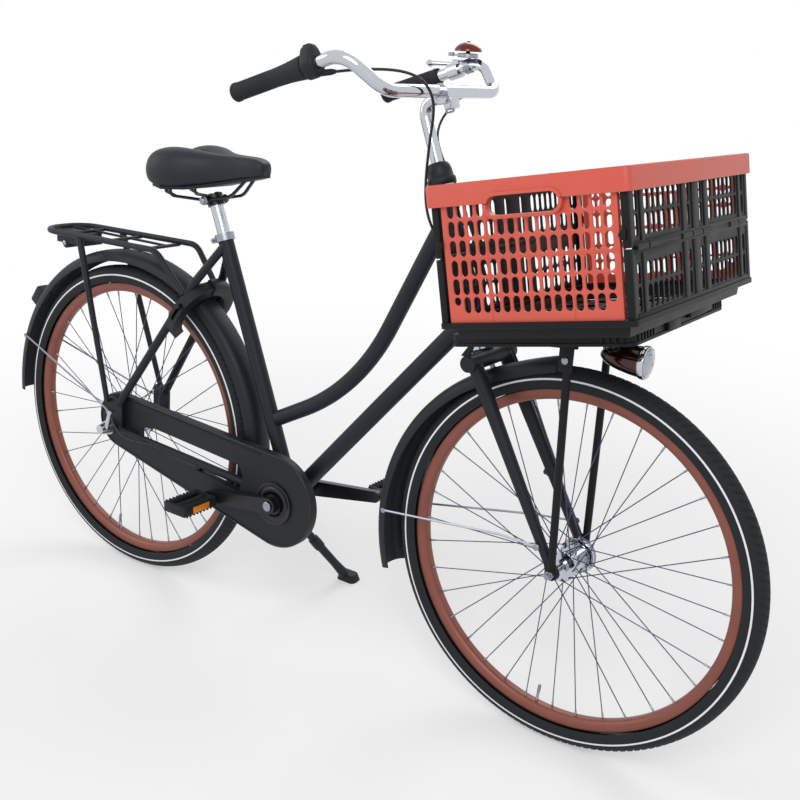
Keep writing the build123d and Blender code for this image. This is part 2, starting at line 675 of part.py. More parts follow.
# Front carrier: a ribbed tray on two side rails, with stays down to the axle
tray_height = 20
tray_length = crate_length - 14
tray_width = crate_width - 20
lamp_bracket_x = 1174
with BuildPart() as front_carrier:
    with BuildSketch(crate_plane.offset(-tray_height)):
        RectangleRounded(tray_length, tray_width, 18)
        with GridLocations(tray_length / 3, tray_width / 3, 3, 3):
            Rectangle(tray_length / 3 - 18, tray_width / 3 - 18, mode=Mode.SUBTRACT)
    extrude(amount=tray_height)
    # Upright ribs round the edge
    with BuildSketch(crate_plane.offset(-tray_height)):
        with GridLocations(tray_length + 3, 24, 2, 17):
            Rectangle(5, 6)
        with GridLocations(24, tray_width + 3, 11, 2):
            Rectangle(6, 5)
    extrude(amount=tray_height - 5)
    for side in (-1, 1):
        with BuildSketch(side_plane(side * rail_y)):
            with BuildLine():
                rail = [(918, 706), (930, 742), (1118, 762), (1118, 782)]
                rail += [(1092, 784), (935, 756), (902, 708)]
                Polyline(*rail, close=True)
            make_face()
        extrude(amount=3, both=True)
        rod((1102, side * rail_y, 762), (1102, side * rail_y, 796), 7)
        rod((962, side * rail_y, 752), (962, side * rail_y, 768), 7)
        rod((1102, side * rail_y, 768), (wheel_base, side * (fork_end_width + 6), axle_height + 8), 7)
        stay_eye = [(wheel_base, axle_height, 12), (1109, axle_height + 14, 9)]
        extrude(hulled(side_plane(side * (fork_end_width + 5.25)), stay_eye), amount=2.75, both=True)
    cross_rod(wheel_base, axle_height, -90, 90, axle_radius + running_gap, Mode.SUBTRACT)
    add(fork.part, mode=Mode.SUBTRACT)
    add(front_axle.part, mode=Mode.SUBTRACT)

# Folding crate
wall_thickness = 12
crate_body_width = crate_width - 14
crate_body_length = crate_length - 14
crate_top = crate_base_height + crate_panel_height


def crate_side_plane(y):
    """Plane along a crate side: local x forward along the crate, local y up, facing right."""
    return Plane(origin=crate_plane.from_local_coords((0, y, 0)), x_dir=crate_x, z_dir=(0, -1, 0))


def crate_end_plane(x):
    """Plane across the crate: local x to the left, local y up, facing forward."""
    return Plane(origin=crate_plane.from_local_coords((x, 0, 0)), x_dir=(0, 1, 0), z_dir=crate_x)


base_wall = 13
with BuildPart() as crate_base:
    with BuildSketch(crate_plane):
        Rectangle(crate_body_length, crate_body_width)
    extrude(amount=crate_base_height)
    with BuildSketch(crate_plane.offset(6)):
        Rectangle(crate_body_length - 2 * base_wall, crate_body_width - 2 * base_wall)
    extrude(amount=crate_base_height, mode=Mode.SUBTRACT)
    with BuildSketch(crate_plane):
        with GridLocations(46, 52, 6, 8):
            Rectangle(32, 38)
    extrude(amount=10, mode=Mode.SUBTRACT)

hinge_height = crate_base_height + crate_panel_height * 0.48
wall_halves = ((crate_base_height, hinge_height - 1), (hinge_height + 1, crate_top))
wall_plate = 5
wall_slot = (12, 28)
wall_slot_rows = (55, 94, 150, 188)
wall_slot_pitch = 22
with BuildPart() as crate_walls:
    for end in (-1, 1):
        outer = end * crate_body_length / 2
        inner = outer - end * wall_plate
        with BuildSketch(crate_end_plane(min(outer, inner))):
            for bottom, top in wall_halves:
                with Locations((0, (bottom + top) / 2)):
                    Rectangle(crate_body_width, top - bottom)
            for height in wall_slot_rows:
                with Locations((0, height)):
                    with GridLocations(crate_body_width / 2, 0, 2, 1):
                        with GridLocations(wall_slot_pitch, 0, 7, 1):
                            Rectangle(*wall_slot, mode=Mode.SUBTRACT)
                    for spacing in (46, crate_body_width - 52):
                        with GridLocations(spacing, 0, 2, 1):
                            Rectangle(*wall_slot, mode=Mode.SUBTRACT)
        extrude(amount=wall_plate)
        # A post at each end of the plate stands behind the handle panels
        post_start = min(outer, outer - end * wall_thickness)
        with BuildSketch(crate_end_plane(post_start)):
            for bottom, top in wall_halves:
                with Locations((0, (bottom + top) / 2)):
                    with GridLocations(crate_body_width - wall_thickness, 0, 2, 1):
                        Rectangle(wall_thickness, top - bottom)
        extrude(amount=wall_thickness)
        # A hinge barrel joins the two halves along their middle
        barrel = crate_plane.from_local_coords((inner, crate_body_width / 2 - 16, hinge_height))
        barrel_end = crate_plane.from_local_coords((inner, 16 - crate_body_width / 2, hinge_height))
        rod(barrel, barrel_end, 3)

handle_hole = (118, 28)
handle_centre = (0, 200)
with BuildPart() as crate_rim:
    with BuildSketch(crate_plane.offset(crate_top)):
        RectangleRounded(crate_length, crate_width, 10)
        Rectangle(crate_body_length - 2 * wall_thickness, crate_body_width - 26, mode=Mode.SUBTRACT)
    extrude(amount=4)
    with BuildSketch(crate_plane.offset(crate_top - crate_rim_height + 4)):
        RectangleRounded(crate_length, crate_width, 10)
        RectangleRounded(crate_length - 7, crate_width - 7, 7, mode=Mode.SUBTRACT)
    extrude(amount=crate_rim_height - 4)
    # The handles cut into the rim's lower edge
    with BuildSketch(crate_side_plane(0)):
        with Locations(handle_centre):
            SlotOverall(*handle_hole)
    extrude(amount=crate_width, both=True, mode=Mode.SUBTRACT)

panel_length = crate_body_length - 2 * wall_thickness - 9
panel_thickness = 9
panel_low = crate_base_height + 1
panel_high = crate_top - 3
panel_hinge_height = crate_top - 7
panel_face = crate_body_width / 2 - 1
panel_columns = 16
panel_slot = (10, 23)
panel_slot_rows = (54, 82, 110, 140, 169)
short_row = 197
short_row_columns = 3


def crate_panel(side):
    """A handle panel with a grip hole and upright slots above and below a middle rib."""
    with BuildPart() as builder:
        with BuildSketch(crate_side_plane(side * (panel_face - panel_thickness / 2))) as section:
            with Locations((0, (panel_low + panel_high) / 2)):
                Rectangle(panel_length, panel_high - panel_low)
            column_step = (panel_length - 14) / panel_columns
            for height in panel_slot_rows:
                with Locations((0, height)):
                    with GridLocations(column_step, 0, panel_columns, 1):
                        Rectangle(*panel_slot, mode=Mode.SUBTRACT)
            # The top row stops short of the handle
            short_row_offset = (panel_columns - short_row_columns) * column_step
            with Locations((0, short_row)):
                with GridLocations(short_row_offset, 0, 2, 1):
                    with GridLocations(column_step, 0, short_row_columns, 1):
                        Rectangle(*panel_slot, mode=Mode.SUBTRACT)
            with Locations(handle_centre):
                SlotOverall(*handle_hole, mode=Mode.SUBTRACT)
        extrude(section.sketch, amount=panel_thickness / 2, both=True)
    return builder


crate_right_panel = crate_panel(-1)
crate_left_panel = crate_panel(1)

# Headlight: a bullet body under the tray, with a bezel and a lens
lamp_point = (1138, 0, 743)
lamp_length = 62
lamp_radius = 26
lamp_face_x = lamp_point[0] + lamp_length
bezel = 9
lens_half = lamp_radius - 2
lens_rise = 7
with BuildPart() as headlight:
    with BuildSketch(Plane(origin=lamp_point, x_dir=(1, 0, 0), z_dir=(0, -1, 0))):
        with BuildLine():
            bullet = [(-14, 0), (-8, 8), (2, 14.5), (14, 19), (36, 23.6), (lamp_length, lamp_radius)]
            Polyline(*bullet, (lamp_length, 0), close=True)
        make_face()
    revolve(axis=Axis(lamp_point, (1, 0, 0)))
    with Locations(Pos(lamp_bracket_x, 0, 782)):
        Box(22, 14, 44)
    add(front_carrier.part, mode=Mode.SUBTRACT)
with BuildPart() as headlight_lens:
    with BuildSketch(Plane(origin=(lamp_face_x, 0, lamp_point[2]), x_dir=(1, 0, 0), z_dir=(0, -1, 0))):
        with BuildLine():
            ring = [(0, lamp_radius + 2), (bezel, lamp_radius + 2), (bezel, lens_half)]
            crown = (bezel + 0.7 * lens_rise, lens_half * 0.56)
            Polyline((bezel + lens_rise, 0), (0, 0), *ring, crown, close=True)
        make_face()
    revolve(axis=Axis(lamp_point, (1, 0, 0)))

with BuildPart() as tail_light:
    with Locations(Plane(origin=(-326, 0, 590), x_dir=(0, 1, 0), z_dir=(-0.81, 0, 0.58))):
        Box(34, 46, 30)
    wheel_well = [(-40, 100), (-40, rear_mudguard_radius), (40, rear_mudguard_radius), (40, 100)]
    turned(rear_axle_point, wheel_well, Mode.SUBTRACT)

# Ring lock round the rear tyre, in front of the seat stays, and its sliding bolt
lock_angle = 57
lock_radial = Vector(cos(radians(lock_angle)), 0, sin(radians(lock_angle)))
lock_axis = Vector(sin(radians(lock_angle)), 0, -cos(radians(lock_angle)))
lock_centre = Vector(rear_axle_point) + lock_radial * 352
# Local x is left, local y outward from the rear axle
lock_plane = Plane(origin=lock_centre, x_dir=(0, 1, 0), z_dir=lock_axis)
lock_ring = 66
lock_arm = 12
lock_back = -3
lock_depth = 22
lock_middle = lock_back + lock_depth / 2
lock_mouth = 38
bolt_radius = 5
bolt_knob_angle = 160
bolt_travel = 22


def ring_point(radius, angle):
    return (radius * cos(radians(angle)), radius * sin(radians(angle)))


def ring_bar(first_angle, last_angle, radius, mode):
    """A round bar bent along the lock's ring."""
    turn = radians(first_angle)
    outward = Vector(0, cos(turn), 0) + lock_radial * sin(turn)
    centre = lock_centre + lock_axis * lock_middle
    with BuildSketch(Plane(origin=centre, x_dir=outward, z_dir=lock_axis.cross(outward))) as section:
        with Locations((lock_ring, 0)):
            Circle(radius)
    swing = last_angle - first_angle
    revolve(section.sketch, axis=Axis(centre, lock_axis), revolution_arc=swing, mode=mode)


with BuildPart() as ring_lock:
    with BuildSketch(lock_plane.offset(lock_back)):
        Circle(lock_ring + lock_arm)
        Circle(lock_ring - lock_arm, mode=Mode.SUBTRACT)
        with BuildLine():
            Polyline((0, 0), ring_point(160, 270 - lock_mouth), ring_point(160, 270 + lock_mouth), close=True)
        make_face(mode=Mode.SUBTRACT)
    extrude(amount=lock_depth)
    ring_bar(146, 235, bolt_radius + 0.6, Mode.SUBTRACT)
    # Slot for the bolt's knob
    with BuildSketch(lock_plane.offset(lock_middle)):
        with BuildLine():
            slot_end = bolt_knob_angle + bolt_travel + 5
            knob_slot = [ring_point(lock_ring, bolt_knob_angle - 5), ring_point(82, bolt_knob_angle - 5)]
            knob_slot += [ring_point(84, 174), ring_point(82, slot_end), ring_point(lock_ring, slot_end)]
            Polyline(*knob_slot, close=True)
        make_face()
    extrude(amount=4, both=True, mode=Mode.SUBTRACT)
    add(rear_triangle.part, mode=Mode.SUBTRACT)
with BuildPart() as lock_bolt:
    ring_bar(149, 228, bolt_radius, Mode.ADD)
    knob_turn = radians(bolt_knob_angle)
    knob_out = Vector(0, cos(knob_turn), 0) + lock_radial * sin(knob_turn)
    knob_centre = lock_centre + lock_axis * lock_middle
    rod(knob_centre + knob_out * lock_ring, knob_centre + knob_out * 88, 3)
    rod(knob_centre + knob_out * 84, knob_centre + knob_out * 92, 6)

# Drive: chain, chainring and sprocket share one plane along the line between the axles
drive_slope = atan2(bracket_height - axle_height, bracket_x)
run_slope = asin((large_pitch - small_pitch) / chain_stay_length)
run_length = chain_stay_length * cos(run_slope)
large_wrap = large_pitch * (pi + 2 * run_slope)


def drive_plane(y):
    """Local x runs from the rear axle to the bracket, local y up, facing right."""
    return Plane(origin=(0, y, axle_height), x_dir=(cos(drive_slope), 0, sin(drive_slope)), z_dir=(0, -1, 0))


def chain_point(travel):
    """Place along the chain: top run, round the chainring, bottom run, round the sprocket."""
    if travel < run_length:
        return (travel * cos(run_slope) - small_pitch * sin(run_slope),
                travel * sin(run_slope) + small_pitch * cos(run_slope))
    travel -= run_length
    if travel < large_wrap:
        angle = pi / 2 + run_slope - travel / large_pitch
        return (chain_stay_length + large_pitch * cos(angle), large_pitch * sin(angle))
    travel -= large_wrap
    if travel < run_length:
        back = run_length - travel
        return (back * cos(run_slope) - small_pitch * sin(run_slope),
                -back * sin(run_slope) - small_pitch * cos(run_slope))
    angle = -pi / 2 - run_slope - (travel - run_length) / small_pitch
    return (small_pitch * cos(angle), small_pitch * sin(angle))


def toothed_outline(centre_x, teeth, first_gap):
    """Chain wheel outline with one gap at the given angle."""
    pitch = pitch_radius(teeth)
    outline = []
    for tooth in range(teeth):
        middle = first_gap + (tooth + 0.5) * 2 * pi / teeth
        for reach, half in ((-4.4, -2.3), (3, -1.2), (3, 1.2), (-4.4, 2.3)):
            radius = pitch + reach
            angle = middle + half / radius
            outline.append((centre_x + radius * cos(angle), radius * sin(angle)))
    return outline


roller_radius = 3.7
link_half_height = 4.2
plate_thickness = 1.2
tooth_half_thickness = 1.4
with BuildPart() as chain:
    for inner_face in (2.6, -2.6 - plate_thickness):
        plane = drive_plane(chain_line + inner_face + plate_thickness)
        with BuildSketch(plane):
            Circle(small_pitch + link_half_height)
            with Locations((chain_stay_length, 0)):
                Circle(large_pitch + link_half_height)
            make_hull()
            with BuildSketch(plane, mode=Mode.PRIVATE) as inside:
                Circle(small_pitch - link_half_height)
                with Locations((chain_stay_length, 0)):
                    Circle(large_pitch - link_half_height)
                make_hull()
            add(inside.sketch_local, mode=Mode.SUBTRACT)
        extrude(amount=plate_thickness)
    with BuildSketch(drive_plane(chain_line)):
        with Locations(*[chain_point(link * chain_pitch) for link in range(chain_links)]):
            RegularPolygon(roller_radius, 6)
    extrude(amount=2.6, both=True)

first_large_link = int(run_length / chain_pitch) + 1
large_gap = pi / 2 + run_slope - (first_large_link * chain_pitch - run_length) / large_pitch
bottom_end = 2 * run_length + large_wrap
first_small_link = int(bottom_end / chain_pitch) + 1
small_gap = -pi / 2 - run_slope - (first_small_link * chain_pitch - bottom_end) / small_pitch

with BuildPart() as sprocket:
    with BuildSketch(drive_plane(chain_line)):
        with BuildLine():
            Polyline(*toothed_outline(0, sprocket_teeth, small_gap), close=True)
        make_face()
    extrude(amount=tooth_half_thickness, both=True)
    cross_rod(0, axle_height, chain_line - 5, chain_line + 3, 16)
    cross_rod(0, axle_height, -60, -40, axle_spacer_radius + running_gap, Mode.SUBTRACT)

# Crank set: spindle, chainring with its spider, two arms and the pedal axles
right_arm_y = (-64, -78)
left_arm_y = (60, 74)
pedal_axle_radius = 6
crank_turn = radians(180 + crank_drop_angle)
crank_run = crank_length * cos(crank_turn)
crank_rise = crank_length * sin(crank_turn)
right_pedal_point = (bracket_x + crank_run, bracket_height + crank_rise)
left_pedal_point = (bracket_x - crank_run, bracket_height - crank_rise)
pedal_axle_end = 168
with BuildPart() as crankset:
    cross_rod(bracket_x, bracket_height, right_arm_y[1] + 3, left_arm_y[1] - 3, spindle_radius)
    with BuildSketch(drive_plane(chain_line)):
        with BuildLine():
            Polyline(*toothed_outline(chain_stay_length, chainring_teeth, large_gap), close=True)
        make_face()
        with Locations((chain_stay_length, 0)):
            with PolarLocations(47, 5):
                Circle(14, mode=Mode.SUBTRACT)
    extrude(amount=tooth_half_thickness, both=True)
    cross_rod(bracket_x, bracket_height, chain_line, right_arm_y[0], 22)
    for arm, pedal in ((right_arm_y, right_pedal_point), (left_arm_y, left_pedal_point)):
        outward = 1 if arm[1] > 0 else -1
        extrude(hulled(side_plane(max(arm)), [(bracket_x, bracket_height, 17), (*pedal, 12)]), amount=14)
        cross_rod(*pedal, arm[0], outward * pedal_axle_end, pedal_axle_radius)
        cross_rod(bracket_x, bracket_height, arm[1], arm[1] + outward * 2.5, 10)


def pedal(point, outward, arm_face):
    """Pedal with a barrel, two end plates and two tread blocks, free to turn on its axle."""
    near = arm_face + outward * 4
    far = near + outward * 94
    depth = 64
    height = 24
    block_depth = 17
    with BuildPart() as builder:
        for start, length in ((near, 10), (far - outward * 10, 10)):
            with Locations(Pos(point[0], start + outward * length / 2, point[1])):
                Box(depth, length, height)
        for end in (-1, 1):
            with Locations(Pos(point[0] + end * (depth - block_depth) / 2, (near + far) / 2, point[1])):
                Box(block_depth, abs(far - near), height)
        cross_rod(*point, near, far, 11)
        axle_bore = pedal_axle_radius + running_gap
        cross_rod(*point, near - outward, outward * (pedal_axle_end + 1), axle_bore, Mode.SUBTRACT)
    return builder


right_pedal = pedal(right_pedal_point, -1, right_arm_y[1])
left_pedal = pedal(left_pedal_point, 1, left_arm_y[1])

# Chain case: a closed shell round the chain, open between its two runs
case_inner = -41.5
case_outer = -57.5
case_depth = case_inner - case_outer
case_wall = 1.6
case_window = [(70, 366), (118, 375), (372, 357), (384, 334), (372, 298), (70, 333)]
case_rear = (8, axle_height + 12, 64)
case_front = (bracket_x, bracket_height + 5, 100)


def case_outline(plane, inset):
    """The case's side view, drawn in by an inset."""
    with BuildSketch(plane) as outline:
        for x, z, radius in (case_rear, case_front):
            with Locations((x, z)):
                Circle(radius - inset)
        make_hull()
        with BuildSketch(plane, mode=Mode.PRIVATE) as window:
            with BuildLine():
                Polyline(*case_window, close=True)
            make_face()
            if inset:
                offset(amount=inset, kind=Kind.INTERSECTION)
        add(window.sketch_local, mode=Mode.SUBTRACT)
    return outline.sketch


with BuildPart() as chain_case:
    extrude(case_outline(side_plane(case_inner), 0), amount=case_depth)
    hollow = case_outline(side_plane(case_inner - case_wall), 2)
    extrude(hollow, amount=case_depth - 2 * case_wall, mode=Mode.SUBTRACT)
    # Stepped ring round the crank and a rib along the top run
    cross_rod(bracket_x, bracket_height, case_outer + case_wall, case_outer - 3, 46)
    rod((60, case_outer, 421), (430, case_outer, 395), 2)
    # Openings for the bracket, the crank boss and the rear axle
    cross_rod(bracket_x, bracket_height, case_outer - 4, case_outer + 3, 26, Mode.SUBTRACT)
    cross_rod(bracket_x, bracket_height, case_inner - 3, case_inner + 1, 30, Mode.SUBTRACT)
    cross_rod(0, axle_height, case_outer - 1, case_outer + 3, 14, Mode.SUBTRACT)
    cross_rod(0, axle_height, case_inner - 3, case_inner + 1, 24, Mode.SUBTRACT)
    # Tab that hangs the case on the chain stay
    rod((250, case_inner + 1, 318), (250, case_inner - 14, 318), 6)
    add(rear_triangle.part, mode=Mode.SUBTRACT)

# Stand leg with its eye, and the foot on the ground
stand_leg_start = stand_pivot + stand_axis * 9
leg_direction = (stand_foot_point - stand_leg_start).normalized()
leg_length = (stand_foot_point - stand_leg_start).length
foot_plane = Plane(origin=stand_foot_point, x_dir=(1, 0, 0), z_dir=ground_normal)
with BuildPart() as kickstand_leg:
    rod(stand_pivot + stand_axis * 0.5, stand_pivot + stand_axis * 17, 12)
    rod(stand_leg_start, stand_leg_start + leg_direction * leg_length * 0.55, 9)
    collar_start = stand_leg_start + leg_direction * leg_length * 0.5
    rod(collar_start, collar_start + leg_direction * leg_length * 0.07, 11)
    rod(stand_leg_start, stand_leg_start + leg_direction * (leg_length - 9), 7)
    pin_bore = stand_pin_radius + running_gap
    rod(stand_pivot - stand_axis, stand_pivot + stand_axis * 19, pin_bore, Mode.SUBTRACT)
with BuildPart() as kickstand_foot:
    with BuildSketch(foot_plane):
        RectangleRounded(52, 34, 12)
    extrude(amount=17, taper=18)
    add(kickstand_leg.part, mode=Mode.SUBTRACT)

# Saddle: post, rails with clamp, base and pad
post_top = 647
post_low = 409
rail_height = 888
saddle_stations = [
    (118, 925, 955, 64, 2), (134, 915, 980, 92, 6), (166, 912, 987, 102, 11), (218, 916, 988, 85, 10),
    (260, 925, 984, 52, 8), (310, 937, 983, 30, 4), (350, 946, 977, 24, 2), (376, 953, 965, 16, 0.5),
]
# Half of a section, as shares of the half width and the height
pad_section = [(0.86, 0), (0.97, 0.18), (1, 0.42), (0.92, 0.72), (0.74, 0.91), (0.42, 1), (0.16, 0.97)]
saddle_base_thickness = 6
post_head = seat_plane.from_local_coords((0, 0, post_top))


def saddle_plane(x):
    """Section across the saddle: local x left, local y up."""
    return Plane(origin=(x, 0, 0), x_dir=(0, 1, 0), z_dir=(1, 0, 0))


with BuildPart() as saddle_pad:
    for x, bottom, top, half, channel in saddle_stations:
        height = top - bottom
        with BuildSketch(saddle_plane(x)):
            with BuildLine():
                left_side = [(across * half, bottom + rise * height) for across, rise in pad_section]
                right_side = [(-across, rise) for across, rise in reversed(left_side)]
                Polyline(*left_side, (0, top - channel), *right_side, close=True)
            make_face()
    loft(ruled=True)
with BuildPart() as saddle_base:
    for x, bottom, top, half, channel in saddle_stations:
        with BuildSketch(saddle_plane(x)):
            with Locations((0, bottom - saddle_base_thickness / 2)):
                Rectangle(1.6 * half, saddle_base_thickness)
    loft(ruled=True)
with BuildPart() as seat_post:
    rod(seat_plane.from_local_coords((0, 0, post_low)), post_head, post_radius)
with BuildPart() as saddle_rails:
    rail_points = [(152, 38, 909), (140, 34, rail_height), (232, 24, rail_height)]
    rail_points += [(300, 18, 903), (334, 12, 939)]
    for flip in (tuple, mirrored):
        bent_rod([flip(point) for point in rail_points], 3.5, [9, 60, 40])
    cross_rod(post_head.X + 3, rail_height, -31, 31, 9)
    rod(post_head - seat_up * 26, post_head - seat_up * 2, post_radius + 4)
    add(seat_post.part, mode=Mode.SUBTRACT)
    add(saddle_base.part, mode=Mode.SUBTRACT)
    add(saddle_pad.part, mode=Mode.SUBTRACT)

# The pieces by name, leaned over onto the stand
pieces = {
    "head_tube": head_tube, "top_tube": top_tube, "down_tube": down_tube, "seat_tube": seat_tube,
    "bottom_bracket_shell": bottom_bracket_shell, "bearing_cups": bearing_cups,
    "rear_triangle": rear_triangle, "seat_clamp": seat_clamp, "rear_axle": rear_axle,
    "shift_box": shift_box, "rear_mudguard": rear_mudguard, "rear_mudguard_stays": rear_mudguard_stays,
    "rear_carrier": rear_carrier, "tail_light": tail_light, "ring_lock": ring_lock,
    "lock_bolt": lock_bolt, "chain_case": chain_case, "chain": chain, "gear_cable": gear_cable,
    "kickstand_leg": kickstand_leg, "kickstand_foot": kickstand_foot, "seat_post": seat_post,
    "saddle_rails": saddle_rails, "saddle_base": saddle_base, "saddle_pad": saddle_pad,
    "fork": fork, "stem": stem, "handlebar": handlebar, "left_grip": left_grip,
    "twist_grip": twist_grip, "shifter_housing": shifter_housing, "brake_bracket": brake_bracket,
    "brake_lever": brake_lever, "bell": bell, "bell_lever": bell_lever, "brake_cable": brake_cable,
    "front_carrier": front_carrier, "crate_base": crate_base, "crate_walls": crate_walls,
    "crate_rim": crate_rim, "crate_right_panel": crate_right_panel,
    "crate_left_panel": crate_left_panel, "headlight": headlight, "headlight_lens": headlight_lens,
    "front_mudguard": front_mudguard, "front_mudguard_stays": front_mudguard_stays,
    "front_axle": front_axle, "front_brake_plate": front_brake_plate, "front_hub": front_hub,
    "front_spokes": front_spokes, "front_rim": front_rim, "front_tyre": front_tyre,
    "rear_hub": rear_hub, "rear_spokes": rear_spokes, "rear_rim": rear_rim, "rear_tyre": rear_tyre,
    "crankset": crankset, "right_pedal": right_pedal, "left_pedal": left_pedal, "sprocket": sprocket,
}
lean = Pos(0, 0, tyre_section) * Rot(-lean_angle, 0, 0) * Pos(0, 0, -tyre_section)
leaned = {name: builder.part.moved(lean) for name, builder in pieces.items()}
outer_box = Compound(children=[piece.moved(Location()) for piece in leaned.values()]).bounding_box()
box_centre = outer_box.center()
stand_location = Pos(-box_centre.X, -box_centre.Y, 0) * lean
os.makedirs("parts", exist_ok=True)
for name, builder in pieces.items():
    placed = builder.part.moved(stand_location)
    placed.label = name
    export_step(placed, f"parts/{name}.step")
print("lowest point", round(outer_box.min.Z, 3), "size", outer_box.size)
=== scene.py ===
"""Looks of the step-through transport bicycle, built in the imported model's own frame.

Pieces are drawn on the upright bicycle in millimetres: X forward, Y left, Z up, with the ground
under the rear axle as origin. They are then leaned over onto the stand, as the solids are.
"""

import json
from itertools import product
from math import cos, pi, radians, sin, tan

import bmesh
import bpy
from mathutils import Matrix, Vector


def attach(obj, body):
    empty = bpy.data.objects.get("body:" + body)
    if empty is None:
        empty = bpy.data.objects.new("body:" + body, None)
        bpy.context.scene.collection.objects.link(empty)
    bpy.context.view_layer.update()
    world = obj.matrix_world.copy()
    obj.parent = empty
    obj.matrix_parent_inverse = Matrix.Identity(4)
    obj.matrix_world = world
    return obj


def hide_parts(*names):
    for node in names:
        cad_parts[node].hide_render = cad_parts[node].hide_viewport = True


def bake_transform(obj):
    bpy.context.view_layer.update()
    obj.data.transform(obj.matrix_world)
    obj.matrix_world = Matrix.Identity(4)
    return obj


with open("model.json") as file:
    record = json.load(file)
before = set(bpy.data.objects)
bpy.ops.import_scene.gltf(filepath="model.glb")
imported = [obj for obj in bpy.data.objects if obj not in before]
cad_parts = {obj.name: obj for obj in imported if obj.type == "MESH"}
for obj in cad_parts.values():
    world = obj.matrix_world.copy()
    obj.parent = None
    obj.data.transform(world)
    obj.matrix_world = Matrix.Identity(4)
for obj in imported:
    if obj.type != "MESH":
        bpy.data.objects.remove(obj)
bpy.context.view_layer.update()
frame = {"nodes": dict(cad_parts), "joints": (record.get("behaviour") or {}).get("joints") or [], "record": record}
scene = bpy.context.scene

# From the upright drawing in millimetres to the leaning frame in metres
per_metre = 1000
lean_angle = radians(6.2)
axle_height = 356
wheel_base = 1110
forward, left, upward = Vector((1, 0, 0)), Vector((0, 1, 0)), Vector((0, 0, 1))
rear_axle = Vector((0, 0, axle_height))
front_axle = Vector((wheel_base, 0, axle_height))
joint_points = {j["name"]: Vector(j["pos_m"]) for j in frame["joints"] if "pos_m" in j}
leaning = Matrix.Rotation(-lean_angle, 4, "X")
placing = Matrix.Translation(joint_points["rear_wheel_spin"] - leaning @ (rear_axle / per_metre))
to_frame = placing @ leaning @ Matrix.Scale(1 / per_metre, 4)
to_upright = to_frame.inverted()


def at(x, y, z):
    """A point of the upright drawing in the frame's metres."""
    return to_frame @ Vector((x, y, z))


def heading(degrees):
    """A direction in the bicycle's middle plane, measured from forward, upwards."""
    return Vector((cos(radians(degrees)), 0, sin(radians(degrees))))


# Mesh helpers
def placed(name, data):
    """A new object in the scene."""
    shape = bpy.data.objects.new(name, data)
    scene.collection.objects.link(shape)
    return shape


def evaluated_mesh(shape):
    """A new mesh of an object as its curve settings or modifiers make it."""
    return bpy.data.meshes.new_from_object(shape.evaluated_get(bpy.context.evaluated_depsgraph_get()))


def curve_mesh(line):
    """The mesh that a curve makes, in the curve's place."""
    mesh, curve = evaluated_mesh(line), line.data
    bpy.data.objects.remove(line)
    bpy.data.curves.remove(curve)
    return mesh


def bridge(bm, outlines, closed=False, caps=False, tint=0):
    """Faces between neighbouring rings of points, in one tint or a list of tints."""
    rings = [[bm.verts.new(point) for point in outline] for outline in outlines]
    tints = tint if isinstance(tint, list) else [tint] * len(rings)
    following = rings[1:] + rings[:1] if closed else rings[1:]
    for ring, after, shade in zip(rings, following, tints):
        for index in range(len(ring)):
            beside = (index + 1) % len(ring)
            face = bm.faces.new((ring[index], ring[beside], after[beside], after[index]))
            face.material_index = shade
    if caps:
        for ring in (rings[0][::-1], rings[-1]):
            bm.faces.new(ring).material_index = tints[0]


def lathe(bm, centre, axis, side, profile, steps, start=0.0, sweep=2 * pi, tint=0):
    """Turns (along, radius) points about an axis, all round or through an arc with closed ends."""
    centre, up = Vector(centre), axis.cross(side)
    full = sweep == 2 * pi
    rings = []
    for step in range(steps if full else steps + 1):
        angle = start + sweep * step / steps
        out = side * cos(angle) + up * sin(angle)
        rings.append([bm.verts.new(centre + axis * along + out * radius) for along, radius in profile])
    for ring, after in zip(rings, rings[1:] + rings[:1] if full else rings[1:]):
        for index in range(len(profile) - 1):
            face = bm.faces.new((ring[index], ring[index + 1], after[index + 1], after[index]))
            face.material_index = tint
    if not full:
        for ring in (rings[0], rings[-1][::-1]):
            bm.faces.new(ring).material_index = tint


def tube(bm, points, radius, sides, closed=False, tint=0):
    """A round bar along points, with one radius or one per point."""
    points = [Vector(point) for point in points]
    count = len(points)
    radii = radius if isinstance(radius, (list, tuple)) else [radius] * count
    tangents = []
    for index in range(count):
        before = points[index - 1] if index or closed else points[index]
        after = points[(index + 1) % count] if index + 1 < count or closed else points[index]
        tangents.append((after - before).normalized())
    normal = tangents[0].orthogonal().normalized()
    angles = [2 * pi * step / sides for step in range(sides)]
    rings = []
    for index in range(count):
        if index:
            normal = tangents[index - 1].rotation_difference(tangents[index]) @ normal
            normal = (normal - tangents[index] * normal.dot(tangents[index])).normalized()
        across = tangents[index].cross(normal)
        outs = [normal * cos(angle) + across * sin(angle) for angle in angles]
        rings.append([points[index] + out * radii[index] for out in outs])
    bridge(bm, rings, closed, caps=not closed, tint=tint)


def turned_bar(bm, foot, way, stops, sides, tint=0):
    """A straight round bar with (along, radius) stops from its foot."""
    points = [foot + way * along for along, _ in stops]
    tube(bm, points, [radius for _, radius in stops], sides, tint=tint)


def filleted(points, bends, steps=8):
    """Straight runs joined by arcs, one bend radius per corner."""
    points = [Vector(point) for point in points]
    path = [points[0]]
    for before, corner, after, bend in zip(points, points[1:], points[2:], bends):
        arriving = (before - corner).normalized()
        leaving = (after - corner).normalized()
        half = arriving.angle(leaving) / 2
        middle = corner + (arriving + leaving).normalized() * (bend / sin(half))
        first = corner + arriving * (bend / tan(half)) - middle
        last = corner + leaving * (bend / tan(half)) - middle
        for step in range(steps + 1):
            path.append(middle + first.slerp(last, step / steps))
    path.append(points[-1])
    return path


